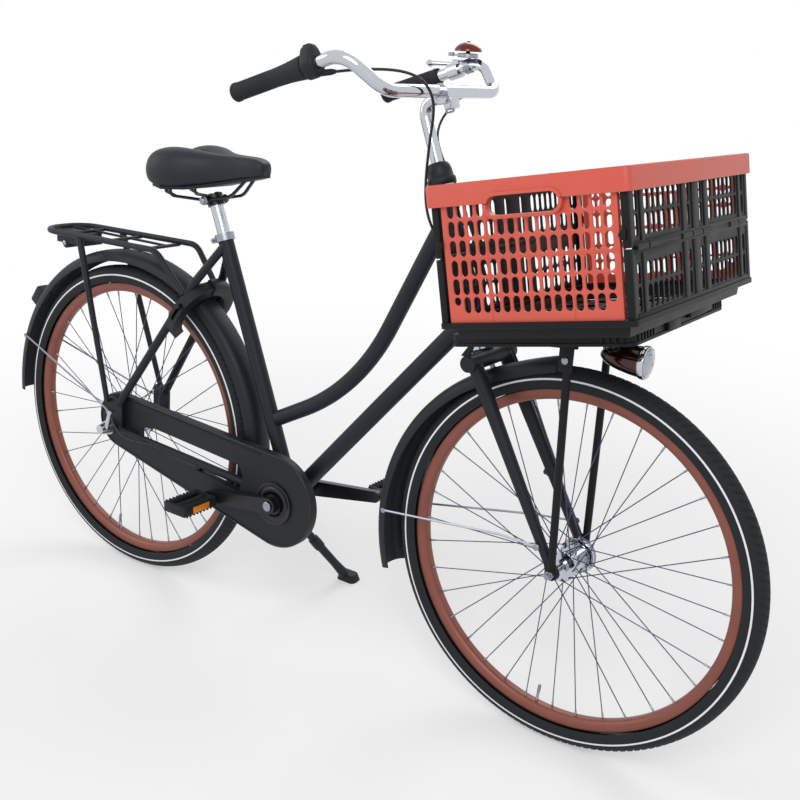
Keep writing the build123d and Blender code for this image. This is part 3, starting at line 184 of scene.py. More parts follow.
def block(bm, centre, size, bevel, axes=None, tint=0):
    """A box with rounded edges, turned by a 3x3 matrix."""
    made = bmesh.ops.create_cube(bm, size=1.0)
    turn = axes.to_4x4() if axes else Matrix.Identity(4)
    fitted = Matrix.Translation(Vector(centre)) @ turn @ Matrix.Diagonal((*size, 1.0))
    bmesh.ops.transform(bm, matrix=fitted, verts=made["verts"])
    edges = list(dict.fromkeys(edge for vert in made["verts"] for edge in vert.link_edges))
    for face in dict.fromkeys(face for vert in made["verts"] for face in vert.link_faces):
        face.material_index = tint
    bmesh.ops.bevel(bm, geom=edges, offset=bevel, segments=2, profile=0.5, affect="EDGES", material=tint)


def slot_outline(centre, width, height, steps=6):
    """An oval with straight sides, upright or lying by its size."""
    x, y = centre
    radius = min(width, height) / 2
    shift, lift = max(0, width - height) / 2, max(0, height - width) / 2
    first = 0.0 if height >= width else -pi / 2
    points = []
    for sign, start in ((1, first), (-1, first + pi)):
        for step in range(steps + 1):
            angle = start + pi * step / steps
            points.append((x + sign * shift + radius * cos(angle), y + sign * lift + radius * sin(angle)))
    return points


def hull_outline(circles, steps=72):
    """The outline round a set of circles, each an (x, y, radius)."""
    points = []
    for step in range(steps):
        angle = 2 * pi * step / steps
        across, rise = cos(angle), sin(angle)
        x, y, radius = max(circles, key=lambda circle: circle[0] * across + circle[1] * rise + circle[2])
        points.append((x + radius * across, y + radius * rise))
    return points


def rectangle(x, y, width, height):
    """A rectangle's corners about its middle."""
    half, tall = width / 2, height / 2
    return [(x - half, y - tall), (x + half, y - tall), (x + half, y + tall), (x - half, y + tall)]


def pierced(bm, plane, outlines, thickness, bevel):
    """A plate with holes: closed outlines in a plane, filled between, with rounded edges."""
    curve = bpy.data.curves.new("outline", "CURVE")
    curve.dimensions = "2D"
    curve.fill_mode = "BOTH"
    curve.extrude = thickness / 2 - bevel
    curve.bevel_depth = bevel
    curve.bevel_resolution = 1
    curve.offset = -bevel
    for outline in outlines:
        spline = curve.splines.new("POLY")
        spline.points.add(len(outline) - 1)
        for point, (x, y) in zip(spline.points, outline):
            point.co = (x, y, 0, 1)
        spline.use_cyclic_u = True
    mesh = curve_mesh(placed("outline", curve))
    mesh.transform(plane)
    bm.from_mesh(mesh)
    bpy.data.meshes.remove(mesh)


def plane_matrix(origin, x_dir, y_dir):
    """A plane's matrix from its origin and two directions."""
    axes = Matrix((x_dir, y_dir, x_dir.cross(y_dir))).transposed()
    return Matrix.Translation(Vector(origin)) @ axes.to_4x4()


def closed_mesh(name, bm, weld=0.01):
    """The drawn faces as a mesh, welded and turned outwards."""
    if weld:
        bmesh.ops.remove_doubles(bm, verts=bm.verts[:], dist=weld)
    bmesh.ops.recalc_face_normals(bm, faces=bm.faces[:])
    mesh = bpy.data.meshes.new(name)
    bm.to_mesh(mesh)
    bm.free()
    return mesh


def piece(name, bm, body, materials, replaces=(), sharp=40, weld=0.01):
    """One named piece from a drawn mesh, riding on a body."""
    mesh = closed_mesh(name, bm, weld)
    mesh.transform(to_frame)
    for material in materials:
        mesh.materials.append(material)
    mesh.shade_smooth()
    mesh.set_sharp_from_angle(angle=radians(sharp))
    shape = placed(name, mesh)
    if body:
        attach(shape, body)
    if replaces:
        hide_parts(*replaces)
    return shape


# Materials
def linear(colour):
    """A display colour from 0 to 255 as linear red, green and blue."""
    shares = [value / 255 for value in colour]
    return [share / 12.92 if share <= 0.04045 else ((share + 0.055) / 1.055) ** 2.4 for share in shares]


def set_inputs(node, values):
    """Sets a node's sockets by name."""
    for socket, value in values.items():
        node.inputs[socket].default_value = value


def surface(name, colour, roughness, metallic=0.0, *, grain, depth, vary=0.12, drift_size=60,
            rough_vary=0.08, specular=0.5, pattern="noise", **sockets):
    """A procedural finish: colour and roughness that drift slowly, and a fine grain in relief."""
    material = bpy.data.materials.new(name)
    material.use_nodes = True
    nodes, links = material.node_tree.nodes, material.node_tree.links
    shader = nodes["Principled BSDF"]
    set_inputs(shader, {"Metallic": metallic, "Specular IOR Level": specular})
    set_inputs(shader, {socket.replace("_", " "): value for socket, value in sockets.items()})
    place = nodes.new("ShaderNodeTexCoord")
    drift = nodes.new("ShaderNodeTexNoise")
    set_inputs(drift, {"Scale": per_metre / drift_size, "Detail": 5})
    links.new(place.outputs["Object"], drift.inputs["Vector"])
    tones = nodes.new("ShaderNodeValToRGB")
    for stop, position, share in zip(tones.color_ramp.elements, (0.3, 0.7), (1 - vary, 1 + vary)):
        stop.position = position
        stop.color = (*[min(1, value * share) for value in linear(colour)], 1)
    links.new(drift.outputs["Fac"], tones.inputs["Fac"])
    links.new(tones.outputs["Color"], shader.inputs["Base Color"])
    polish = nodes.new("ShaderNodeMapRange")
    smoothest, dullest = max(0.02, roughness - rough_vary), min(1, roughness + rough_vary)
    set_inputs(polish, {"To Min": smoothest, "To Max": dullest})
    links.new(drift.outputs["Fac"], polish.inputs["Value"])
    links.new(polish.outputs["Result"], shader.inputs["Roughness"])
    if pattern == "hide":
        relief = nodes.new("ShaderNodeTexVoronoi")
        relief.feature = "DISTANCE_TO_EDGE"
        height = relief.outputs["Distance"]
    else:
        relief = nodes.new("ShaderNodeTexNoise")
        set_inputs(relief, {"Detail": 3})
        height = relief.outputs["Fac"]
    set_inputs(relief, {"Scale": per_metre / grain})
    links.new(place.outputs["Object"], relief.inputs["Vector"])
    bump = nodes.new("ShaderNodeBump")
    set_inputs(bump, {"Strength": 0.5, "Distance": depth / per_metre})
    links.new(height, bump.inputs["Height"])
    links.new(bump.outputs["Normal"], shader.inputs["Normal"])
    return material


paint = surface("black_paint", (20, 26, 34), 0.5, vary=0.1, grain=0.9, depth=0.05, specular=0.27)
plastic = surface("black_plastic", (18, 21, 26), 0.52, grain=0.7, depth=0.08, specular=0.3)
crate_black = surface("crate_black", (11, 13, 16), 0.46, grain=0.7, depth=0.06, specular=0.22)
coral = surface("coral_plastic", (200, 83, 66), 0.42, vary=0.04, grain=0.8, depth=0.04)
chrome = surface("chrome", (190, 195, 202), 0.12, 1.0, vary=0.03, rough_vary=0.04, grain=3, depth=0.004)
steel = surface("zinc_steel", (150, 154, 164), 0.34, 1.0, vary=0.1, grain=0.5, depth=0.02)
spoke_steel = surface("spoke_steel", (74, 78, 104), 0.4, 0.7, vary=0.1, grain=0.5, depth=0.01)
dark_metal = surface("dark_metal", (24, 25, 28), 0.3, 0.3, vary=0.1, grain=0.6, depth=0.03)
copper_paint = surface("copper_paint", (130, 74, 62), 0.42, 0.3, vary=0.07, grain=0.3, depth=0.02)
copper = surface("copper", (108, 62, 50), 0.16, 1.0, vary=0.08, grain=2, depth=0.006)
lamp_lacquer = surface("lamp_lacquer", (58, 26, 22), 0.16, 0.7, vary=0.08, grain=1.5, depth=0.01,
                       Coat_Weight=0.5)
rubber = surface("tyre_rubber", (23, 27, 31), 0.72, vary=0.15, grain=0.6, depth=0.12, specular=0.3)
stripe = surface("reflex_stripe", (226, 228, 230), 0.35, vary=0.03, grain=0.4, depth=0.02)
grip_rubber = surface("grip_rubber", (22, 25, 30), 0.66, grain=0.5, depth=0.1, specular=0.3)
vinyl = surface("saddle_vinyl", (22, 28, 35), 0.5, vary=0.1, grain=1.1, depth=0.1, specular=0.35,
                pattern="hide")
sleeve = surface("cable_sleeve", (18, 19, 21), 0.4, grain=0.6, depth=0.03)
amber = surface("amber_reflector", (226, 128, 20), 0.25, vary=0.08, grain=2.2, depth=0.3, pattern="hide")
red_lens = surface("red_lens", (120, 14, 16), 0.2, vary=0.06, grain=2.2, depth=0.2, pattern="hide")
glass = surface("clear_lens", (236, 240, 244), 0.06, vary=0.02, rough_vary=0.02, grain=3, depth=0.02,
                Transmission_Weight=0.85, IOR=1.5)

finishes = {
    "frame_paint": paint, "black_plastic": plastic, "coral_plastic": coral, "chrome": chrome,
    "steel": steel, "copper": copper, "tyre": rubber, "grip_rubber": grip_rubber, "saddle": vinyl,
    "lens": glass, "cable": sleeve,
}
for part in frame["record"]["subparts"]:
    shape = frame["nodes"][part["node"]]
    shape.data.materials.clear()
    shape.data.materials.append(finishes[part["material_slot"]])
own_finishes = {"crankset": dark_metal, "saddle_rails": dark_metal, "seat_clamp": steel, "bell_lever": steel}
for node, finish in own_finishes.items():
    frame["nodes"][node].data.materials[0] = finish
# The drum brake's arm is painted, its plate is bright
arm_foot = axle_height + 37
plate = frame["nodes"]["front_brake_plate"]
plate.data.materials.append(paint)
for polygon in plate.data.polygons:
    if (to_upright @ plate.matrix_world @ polygon.center).z > arm_foot:
        polygon.material_index = 1

# Wheels
tyre_section = 23.5
tyre_circle = axle_height - tyre_section
tread_pitches = 150
tread_reach, tread_slant = 58, 0.9
groove_depth = 1.4
groove_first, groove_last = 8, 50
groove_steps = ((0, 0), (0.07, 1), (0.26, 1), (0.33, 0))
stripe_first, stripe_last = 78, 86
# Angles round the tyre's section, from one rim flange to the other
half_rows = [-128, -112, -98, -86, -78, -70, -62, -58, -52, -44, -34, -22, -10, -4]
tyre_rows = half_rows + [0] + [-angle for angle in reversed(half_rows)]


def add_tyre(bm, centre):
    """Tyre with slanted tread grooves and a pale stripe on each wall."""
    rings = []
    for degrees in tyre_rows:
        across = abs(degrees)
        turn = radians(degrees)
        slant = tread_slant * across / tread_reach
        cut_depth = groove_depth if groove_first <= across <= groove_last else 0.0
        ring = []
        for pitch, (share, cut) in product(range(tread_pitches), groove_steps):
            reach = tyre_section - cut_depth * cut
            angle = 2 * pi * (pitch + share + slant) / tread_pitches
            radius = tyre_circle + reach * cos(turn)
            ring.append(centre + Vector((radius * cos(angle), reach * sin(turn), radius * sin(angle))))
        rings.append(ring)
    middles = [abs(row + after) / 2 for row, after in zip(tyre_rows, tyre_rows[1:])]
    bridge(bm, rings, tint=[int(stripe_first < middle < stripe_last) for middle in middles])


def flipped(run):
    """The mirror image of (across, out) points, in the opposite order."""
    return [(-across, out) for across, out in reversed(run)]


rim_half = [
    (-11.3, 306), (-11.3, 316), (-12.2, 317), (-13.2, 316.4), (-13.5, 315), (-13.5, 307), (-12.6, 303.6),
    (-9.5, 299), (-6.5, 297.2), (-3, 296.8),
]
rim_profile = rim_half + flipped(rim_half) + rim_half[:1]
spoke_radius, spoke_sides = 1.0, 8
spoke_flange, spoke_splay = 27, 3.4
spoke_rim_circle = 296.6
spoke_crossing = 60
head_length, head_radii = 3, [1.7, 1.5, 1.1]
nipple_stops = ((13, 1.2), (11, 1.9), (0, 1.9))
valve_circle = 297
valve_stops = ((0, 3.0), (8, 3.0), (8.5, 2.6), (20, 2.6), (20.5, 3.2), (34, 3.2), (35, 2.0))


def add_spokes(bm, centre, hole_circle):
    """Thirty-six spokes crossed three times, each with a head at the hub and a nipple at the rim."""
    for side, lace, pair in product((-1, 1), (-1, 1), range(9)):
        # One every 10 degrees, on the two sides in turn
        rim_angle = pair * 40 + (lace + 1) * 10 + (side + 1) * 5
        hub_y = side * (spoke_flange + lace * spoke_splay)
        head = centre + heading(rim_angle - lace * spoke_crossing) * hole_circle + left * hub_y
        end = centre + heading(rim_angle) * spoke_rim_circle + left * side * (4 + lace * 1.3)
        run = (end - head).normalized()
        elbow = [head - left * side * lace * head_length, head, head + run * head_length]
        tube(bm, [head, end], spoke_radius, spoke_sides)
        turned_bar(bm, end, -run, nipple_stops, spoke_sides, tint=1)
        tube(bm, elbow, head_radii, spoke_sides)


for name, centre, hole_circle, valve_angle in (("front", front_axle, 24, 264), ("rear", rear_axle, 34, 257)):
    body = name + "_wheel"
    bm = bmesh.new()
    add_tyre(bm, centre)
    piece(name + "_tyre_tread", bm, body, [rubber, stripe], [name + "_tyre"], sharp=25)
    bm = bmesh.new()
    lathe(bm, centre, left, forward, rim_profile, 144)
    piece(name + "_rim_band", bm, body, [copper_paint], [name + "_rim"], sharp=50)
    bm = bmesh.new()
    add_spokes(bm, centre, hole_circle)
    valve_way = heading(valve_angle)
    turned_bar(bm, centre + valve_way * valve_circle, -valve_way, valve_stops, 10, tint=1)
    piece(name + "_spoke_set", bm, body, [spoke_steel, steel], [name + "_spokes"], sharp=45, weld=0)

# Mudguards: a rounded channel bent round the wheel, the front one lifting off the tyre forwards
guard_outer = [(-30.6, -24.2), (-30, -18), (-28, -11), (-24.5, -5.8), (-18, -2.2), (-9, -0.4)]
guard_inner = [(29.2, -24.6), (28.5, -18), (26.6, -11.8), (23.4, -7.2), (17.4, -3.8), (9, -2)]
guard_profile = guard_outer + [(0, 0)] + flipped(guard_outer)
guard_profile += guard_inner + [(0, -1.6)] + flipped(guard_inner)
rise_start = 116
front_guard_centre = Vector((1080, 0, 336))
for name, centre, radius, first, last, rise, body in (
    ("rear", rear_axle, 391, 2, 181, 0, "frame"),
    ("front", front_guard_centre, 374, 93, 197, 16, "steering"),
):
    steps = int((last - first) / 2)
    rings = []
    for step in range(steps + 1):
        degrees = first + (last - first) * step / steps
        share = max(0.0, (rise_start - degrees) / (rise_start - first))
        way, lifted = heading(degrees), radius + rise * share ** 2
        rings.append([centre + way * (lifted + out) + left * across for across, out in guard_profile])
    bm = bmesh.new()
    bridge(bm, rings, caps=True)
    piece(name + "_mudguard_shell", bm, body, [paint], [name + "_mudguard"], sharp=50)

# Cables: smooth lines through the routes' points
gear_route = [
    (660, -216, 1157), (697, -192, 1165), (729, -154, 1171), (760, -116, 1172), (784, -92, 1164),
    (797, -77, 1147), (799, -63, 1124), (792, -50, 1098), (782, -40, 1066), (775, -33, 1030),
    (771, -29, 990), (772, -26, 950), (779, -20, 916), (790, -10, 890),
]
shift_route = [(128, -64, 341), (92, -82, 342), (58, -95, 350), (34, -99, 370), (22, -98, 396)]
brake_route = [
    (680, 246, 1188), (698, 241, 1186), (712, 226, 1178), (739, 211, 1161), (761, 192, 1136),
    (765, 150, 1131), (765, 110, 1131), (766, 72, 1130), (768, 44, 1116), (758, 26, 1090),
    (757, 18, 1062), (768, 18, 1034), (779, 22, 1012), (803, 21, 985), (826, 15, 950), (846, 14, 908),
    (866, 24, 858), (880, 36, 808), (900, 46, 760), (924, 51, 712), (954, 54, 660), (984, 57, 607),
    (1013, 58, 554), (1042, 57, 502), (1064, 52, 461), (1078, 46, 436),
]
brake_radius, gear_radius = 2.2, 2.5


def route_curve(name, route, radius):
    """A smooth line with the route's points as its control points."""
    curve = bpy.data.curves.new(name, "CURVE")
    curve.dimensions = "3D"
    spline = curve.splines.new("NURBS")
    spline.points.add(len(route) - 1)
    for point, place in zip(spline.points, route):
        point.co = (*at(*place), 1)
    spline.order_u = 3
    spline.use_endpoint_u = True
    spline.resolution_u = 6
    curve.bevel_depth = radius / per_metre
    curve.bevel_resolution = 3
    curve.use_fill_caps = True
    return placed(name, curve)


def spline_points(route):
    """Points read from the route's smooth line, in metres."""
    mesh = curve_mesh(route_curve("line", route, 0))
    points = [vertex.co.copy() for vertex in mesh.vertices]
    bpy.data.meshes.remove(mesh)
    return points


def riding_cable(name, route, radius, body):
    """A sleeved cable along a route, riding on a body."""
    line = route_curve(name, route, radius)
    line.data.materials.append(sleeve)
    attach(line, body)
    return line


brake_line = riding_cable("brake_cable_line", brake_route, brake_radius, "steering")
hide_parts("brake_cable")

gear_path = spline_points(gear_route)
bm = bmesh.new()
tube(bm, [to_upright @ point for point in gear_path], gear_radius, 10)
gear_line = piece("gear_cable_line", bm, None, [sleeve], ["gear_cable"], sharp=60)
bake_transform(gear_line)
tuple(gear_path[0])

shift_line = riding_cable("shift_cable_line", shift_route, gear_radius, "frame")

# Saddle: a crowned pad with a centre channel. Each station is (x, bottom, top, half width, channel)
saddle_stations = [
    (114, 933, 950, 48, 8), (119, 924, 964, 72, 13), (131, 916, 979, 92, 19), (148, 912, 987, 101, 23),
    (172, 911, 991, 102, 24), (198, 913, 991, 96, 21), (224, 917, 988.5, 80, 14), (247, 922, 985, 61, 8),
    (272, 928, 983.5, 44, 4), (300, 935, 983.5, 33, 1.5), (326, 941, 984, 28, 0.4), (350, 946, 984, 25, 0),
    (368, 949, 981, 21, 0), (380, 952, 974, 14, 0),
]
# Half of a section, as shares of its half width and of its height
saddle_section = [
    (0.0, 0.0), (0.45, 0.0), (0.8, 0.01), (0.9, 0.06), (0.955, 0.16), (0.985, 0.28), (1.0, 0.42),
    (0.985, 0.58), (0.94, 0.74), (0.86, 0.87), (0.74, 0.955), (0.58, 0.995), (0.42, 1.0), (0.27, 0.985),
    (0.14, 0.95), (0.05, 0.92),
]
deepest_channel = max(station[-1] for station in saddle_stations)
channel_reach, channel_floor = 0.42, 0.8


def saddle_ring(station):
    """One closed section of the pad, left side first and then the right."""
    x, bottom, top, half, channel = station
    height = top - bottom
    hollow = channel / deepest_channel
    points = []
    for across, rise in saddle_section:
        sunk = 0.0
        if across < channel_reach and rise > channel_floor:
            rise = 1 - (1 - rise) * hollow
            sunk = 0.8 * channel * (1 - across / channel_reach) ** 1.4
        points.append(Vector((x, across * half, bottom + height * rise - sunk)))
    right = [Vector((point.x, -point.y, point.z)) for point in reversed(points[1:])]
    top_middle = Vector((x, 0, bottom + height * (1 - 0.1 * hollow) - 0.9 * channel))
    return points + [top_middle] + right


bm = bmesh.new()
bridge(bm, [saddle_ring(station) for station in saddle_stations], caps=True)
saddle = piece("saddle_cushion", bm, "seat", [vinyl], ["saddle_pad"], sharp=180)
rounding = saddle.modifiers.new("rounding", "SUBSURF")
rounding.levels = rounding.render_levels = 2

# Folding crate, drawn in its own tilted frame
crate_pitch = 11.4
crate_origin = Vector((1125, 0, 808))
crate_x, crate_z = heading(crate_pitch), heading(90 + crate_pitch)
crate_axes = Matrix((crate_x, left, crate_z)).transposed()
hole_height, hole_radius, hole_reach = 200, 14, 45
collar_radius = hole_radius + 5.5
hand_hole = slot_outline((0, hole_height), 2 * (hole_reach + hole_radius), 2 * hole_radius, 12)


def crate_at(x, y, z):
    """A point of the crate's frame in the upright drawing."""
    return crate_origin + crate_x * x + left * y + crate_z * z


def crate_side(y):
    """The plane of a handle panel, at a distance to the left."""
    return plane_matrix(crate_at(0, y, 0), crate_x, crate_z)


def crate_block(bm, place, size, bevel):
    """A box with rounded edges in the crate's frame."""
    block(bm, crate_at(*place), size, bevel, crate_axes)


def collar_outline(first, last, steps=22):
    """Part of the oval collar round the hand hole, between two angles from forward, upwards."""
    middle, gap = (first + last) / 2, 0.01
    angles = [first + (middle - gap - first) * step / steps for step in range(steps + 1)]
    angles += [middle + gap + (last - middle - gap) * step / steps for step in range(steps + 1)]
    points = []
    for radius, run in ((collar_radius, angles), (hole_radius, reversed(angles))):
        for angle in run:
            across, rise = cos(radians(angle)), sin(radians(angle))
            shift = hole_reach if across > 0 else -hole_reach
            points.append((shift + radius * across, hole_height + radius * rise))
    return points


# Handle panels: a slotted plate with turned edges, ribs and a collar under the hand hole
panel_width, panel_height, panel_middle = 288, 204, 129
plate_y, edge_y, rib_y, collar_y = 243.4, 240.5, 245, 249.7
edge_depth, edge_thickness = 8.8, 3
slot_width, slot_height, short_slot = 12, 25, 13
top_row, top_slot = 197, 23
panel_rows = (54, 82, 110, 140, 169)
column_step = 274 / 16
columns = [(index - 7.5) * column_step for index in range(16)]
for side, body in ((-1, "crate_right_panel"), (1, "crate_left_panel")):
    bm = bmesh.new()
    outlines = [rectangle(0, panel_middle, panel_width, panel_height)]
    for row, x in product(panel_rows, columns):
        short = row == panel_rows[0] and abs(x) > 125
        outlines.append(slot_outline((x, row + 6 * short), slot_width, short_slot if short else slot_height))
    outlines += [slot_outline((x, top_row), slot_width, top_slot) for x in columns if abs(x) > 70]
    outlines.append(hand_hole)
    pierced(bm, crate_side(side * plate_y), outlines, 3.2, 0.5)
    for z in (28.6, 229.4):
        crate_block(bm, (0, side * edge_y, z), (panel_width, edge_depth, edge_thickness), 0.6)
    for x in (-142.4, 142.4):
        size = (edge_thickness, edge_depth, panel_height - 1)
        crate_block(bm, (x, side * edge_y, panel_middle), size, 0.6)
    crate_block(bm, (0, side * (rib_y + 0.1), 125), (panel_width - 2, 2, 2.6), 0.6)
    for column in (3, 11):
        crate_block(bm, (columns[column] + column_step / 2, side * rib_y, 104), (1.8, 1.4, 150), 0.4)
    pierced(bm, crate_side(side * collar_y), [collar_outline(-190, 10)], 11, 0.9)
    piece(body + "_lattice", bm, body, [coral], [body])


def crate_band(bm, section, half_x, half_y, corner, shift=0.0, steps=6):
    """A closed band round the crate with round corners, from (inset, height) points."""
    loops = []
    for inset, z in section:
        bend = max(corner - inset, 2.5)
        reach_x, reach_y = half_x - inset - bend, half_y - inset - bend
        loop = []
        for quarter, (sign_x, sign_y) in enumerate(((1, 1), (-1, 1), (-1, -1), (1, -1))):
            for step in range(steps + 1):
                angle = radians(90 * quarter + 90 * step / steps)
                x, y = sign_x * reach_x + bend * cos(angle), sign_y * reach_y + bend * sin(angle)
                loop.append(crate_at(x + shift, y, z))
        loops.append(loop)
    bridge(bm, loops, closed=True)


def cut_away(bm, tool):
    """Takes one closed mesh out of another."""
    holders = [placed("cutting", closed_mesh("cutting", source)) for source in (bm, tool)]
    cutting = holders[0].modifiers.new("cutting", "BOOLEAN")
    cutting.operation = "DIFFERENCE"
    cutting.solver = "EXACT"
    cutting.object = holders[1]
    mesh = evaluated_mesh(holders[0])
    result = bmesh.new()
    result.from_mesh(mesh)
    bpy.data.meshes.remove(mesh)
    for holder in holders:
        mesh = holder.data
        bpy.data.objects.remove(holder)
        bpy.data.meshes.remove(mesh)
    return result


# Crate rim: an angle band, cut out and collared over the hand holes
rim_half_x, rim_half_y, rim_corner = 167.5, 253, 10
rim_section = [
    (0.7, 204), (0, 204.8), (0, 234.2), (0.7, 236.4), (2.4, 238), (18.6, 238), (19.4, 237.3), (19.4, 234.7),
    (18.6, 234), (3.5, 234), (3.5, 204.7), (2.8, 204),
]
bm = bmesh.new()
crate_band(bm, rim_section, rim_half_x, rim_half_y, rim_corner)
tool = bmesh.new()
pierced(tool, crate_side(0), [hand_hole], 560, 0)
bm = cut_away(bm, tool)
for side in (-1, 1):
    pierced(bm, crate_side(side * rim_half_y), [collar_outline(14, 166)], 4.4, 0.9)
piece("crate_rim_band", bm, "steering", [coral], ["crate_rim"], sharp=35)

# End walls: two slotted halves on a middle hinge, between corner posts
wall_x, wall_rib_x, post_x, hinge_x = 157.6, 159.4, 154.6, 159
post_y, hinge_height = 240, 125.8
wall_halves = ((26, 124.8, ((53, 36), (89, 30))), (126.8, 234, ((156, 32), (190, 30))))
wall_slots = [(67.5 + 19.5 * index, 15) for index in range(7)] + [(26, 10), (221, 10)]
wall_ribs = ((-203.5, 11), (-45.5, 16), (0, 24), (45.5, 16), (203.5, 11))
knuckle_stops = ((-19.6, 4.2), (-18.4, 5.4), (18.4, 5.4), (19.6, 4.2))
bm = bmesh.new()
for end in (-1, 1):
    for bottom, top, rows in wall_halves:
        middle, height = (bottom + top) / 2, top - bottom
        outlines = [rectangle(0, middle, 490, height)]
        for (row, tall), side in product(rows, (-1, 1)):
            outlines += [slot_outline((side * y, row), wide, tall) for y, wide in wall_slots]
        pierced(bm, plane_matrix(crate_at(end * wall_x, 0, 0), left, crate_z), outlines, 3.4, 0.5)
        for y in (-post_y, post_y):
            crate_block(bm, (end * post_x, y, middle), (12, 12, height), 1.2)
        for y, wide in wall_ribs:
            crate_block(bm, (end * wall_rib_x, y, middle), (3.4, wide, height - 4), 0.8)
        for z in (bottom + 4, top - 4):
            crate_block(bm, (end * wall_rib_x, 0, z), (3.6, 468, 7), 0.8)
    # Hinge pin with its knuckles
    tube(bm, [crate_at(end * hinge_x, y, hinge_height) for y in (-229, 229)], 3.2, 12)
    for knuckle in (-5, -4, -1, 0, 1, 4, 5):
        turned_bar(bm, crate_at(end * hinge_x, knuckle * 42, hinge_height), left, knuckle_stops, 14)
    # Latches that hold the handle panels
    for side in (-1, 1):
        crate_block(bm, (end * 150.5, side * 247, 146), (9, 6, 15), 1.4)
        crate_block(bm, (end * 146.6, side * 248, 146), (5, 4, 6), 1)
piece("crate_end_walls", bm, "steering", [crate_black], ["crate_walls"])

# Crate base: a lip under the walls, a skirt set in below it and a pierced floor
base_half_x, base_half_y, base_corner = 163.5, 249.5, 8
base_section = [
    (0.8, 27), (0, 26.2), (0, 18.8), (0.8, 18), (18, 17), (21, 1), (22, 0), (27, 0), (27, 5.6), (24.5, 6.6),
    (21.5, 19), (15, 20.6), (15, 26.2), (14.2, 27),
]
bm = bmesh.new()
crate_band(bm, base_section, base_half_x, base_half_y, base_corner)
outlines = [rectangle(0, 0, 275, 447)]
outlines += [rectangle(44 * (x - 2.5), 52 * (y - 3.5), 31, 37) for x, y in product(range(6), range(8))]
pierced(bm, plane_matrix(crate_at(0, 0, 3.4), crate_x, left), outlines, 4.4, 0.6)
piece("crate_base_shell", bm, "steering", [crate_black], ["crate_base"])

# Front carrier: a tray set in under the crate, on two rails, with stays down to the axle
tray_shift, tray_half_x, tray_half_y, tray_corner = -27.5, 159.5, 190, 16
tray_front = tray_shift + tray_half_x
tray_section = [
    (2.6, 0), (1.6, -1), (1.6, -14), (0, -15), (0, -19), (1, -20), (8, -20), (9, -19), (9, -1), (8, 0),
]
rail_y, stay_radius = 78, 7
rail_outline = [(918, 706), (930, 742), (1118, 762), (1118, 782), (1092, 784), (935, 756), (902, 708)]
eye_outlines = [
    hull_outline([(wheel_base, axle_height, 12), (wheel_base - 1, axle_height + 14, 9)]),
    slot_outline((wheel_base, axle_height), 9.7, 9.7),
]
bm = bmesh.new()
crate_band(bm, tray_section, tray_half_x, tray_half_y, tray_corner, tray_shift)
outlines = [rectangle(tray_shift, 0, 2 * tray_half_x - 10, 2 * tray_half_y - 10)]
outlines += [rectangle(tray_shift + x * 102, y * 122, 86, 104) for x, y in product((-1, 0, 1), repeat=2)]
pierced(bm, plane_matrix(crate_at(0, 0, -14), crate_x, left), outlines, 8, 1)
for side in (-1, 1):
    # Ribs round the front corners
    for rib in range(6):
        crate_block(bm, (tray_front - 1, side * (172 - 11 * rib), -7.5), (5, 4, 13), 0.8)
    for rib in range(4):
        crate_block(bm, (tray_front - 18 - 11 * rib, side * (tray_half_y - 1), -7.5), (4, 5, 13), 0.8)
    # Rail with its posts, and the stay with its plate and eye
    pierced(bm, plane_matrix((0, side * rail_y, 0), forward, upward), [rail_outline], 6, 1)
    for x, low, high in ((1102, 762, 796), (962, 752, 768)):
        tube(bm, [(x, side * rail_y, low), (x, side * rail_y, high)], stay_radius, 20)
    tube(bm, [(1102, side * rail_y, 768), (wheel_base, side * 67, 364)], stay_radius, 20)
    block(bm, (1103, side * 86, 748), (26, 5, 54), 2)
    pierced(bm, plane_matrix((0, side * 66.25, 0), forward, upward), eye_outlines, 5.5, 0.7)
# Clips that hold the crate on the tray's front edge
crate_block(bm, (tray_front + 1, -46, -9), (9, 46, 15), 2)
crate_block(bm, (tray_front + 1, 66, -2), (11, 96, 15), 2)
piece("front_carrier_tray", bm, "steering", [crate_black], ["front_carrier"])

# Grips, ribbed along their length
bar_end = Vector((498, 219, 1117))
bar_rise = Vector((720, 216, 1193))


def on_grip(distance, side, out=0.0, up=0.0):
    """A point on a grip's axis, measured forward from the bar's end."""
    point = bar_end + (bar_rise - bar_end).normalized() * distance
    return Vector((point.x, side * (point.y + out), point.z + up))


def grip_run(side):
    """The direction of a grip, forward along the bar."""
    return (on_grip(1, side) - on_grip(0, side)).normalized()


def ribbed(first, last, pitch, crest, depth):
    """Rounded ribs between two places along a grip."""
    profile = []
    for rib in range(int((last - first) / pitch)):
        start = first + rib * pitch
        for share, radius in ((0, crest - depth), (0.25, crest - depth), (0.4, crest), (0.85, crest)):
            profile.append((start + pitch * share, radius))
    return profile


rib_pitch = 3.8
left_profile = [(-3, 0.1), (-3, 13), (-2, 15.8), (0, 17.2), (5, 17.2), (6.5, 16.2)]
left_profile += ribbed(8, 122, rib_pitch, 16, 0.7)
left_profile += [(124, 15.6), (126, 16.6), (133, 16.2), (135, 14.5), (135, 11.3)]
twist_profile = [(-3, 0.1), (-3, 12.5), (-2, 15.2), (0, 16.6), (4, 16.6), (6, 15.6)]
twist_profile += ribbed(8, 84, rib_pitch, 15.6, 0.5)
twist_profile += [
    (86, 15.4), (104, 15.9), (120, 16.7), (134, 17.9), (146, 19.3), (154, 20), (157, 20), (158, 19.2),
    (158, 11.4),
]
for name, side, body, profile in (
    ("left_grip", 1, "steering", left_profile), ("twist_grip", -1, "twist_grip", twist_profile),
):
    bm = bmesh.new()
    lathe(bm, on_grip(0, side), grip_run(side), left, profile, 40)
    piece(name + "_rubber", bm, body, [grip_rubber], [name])

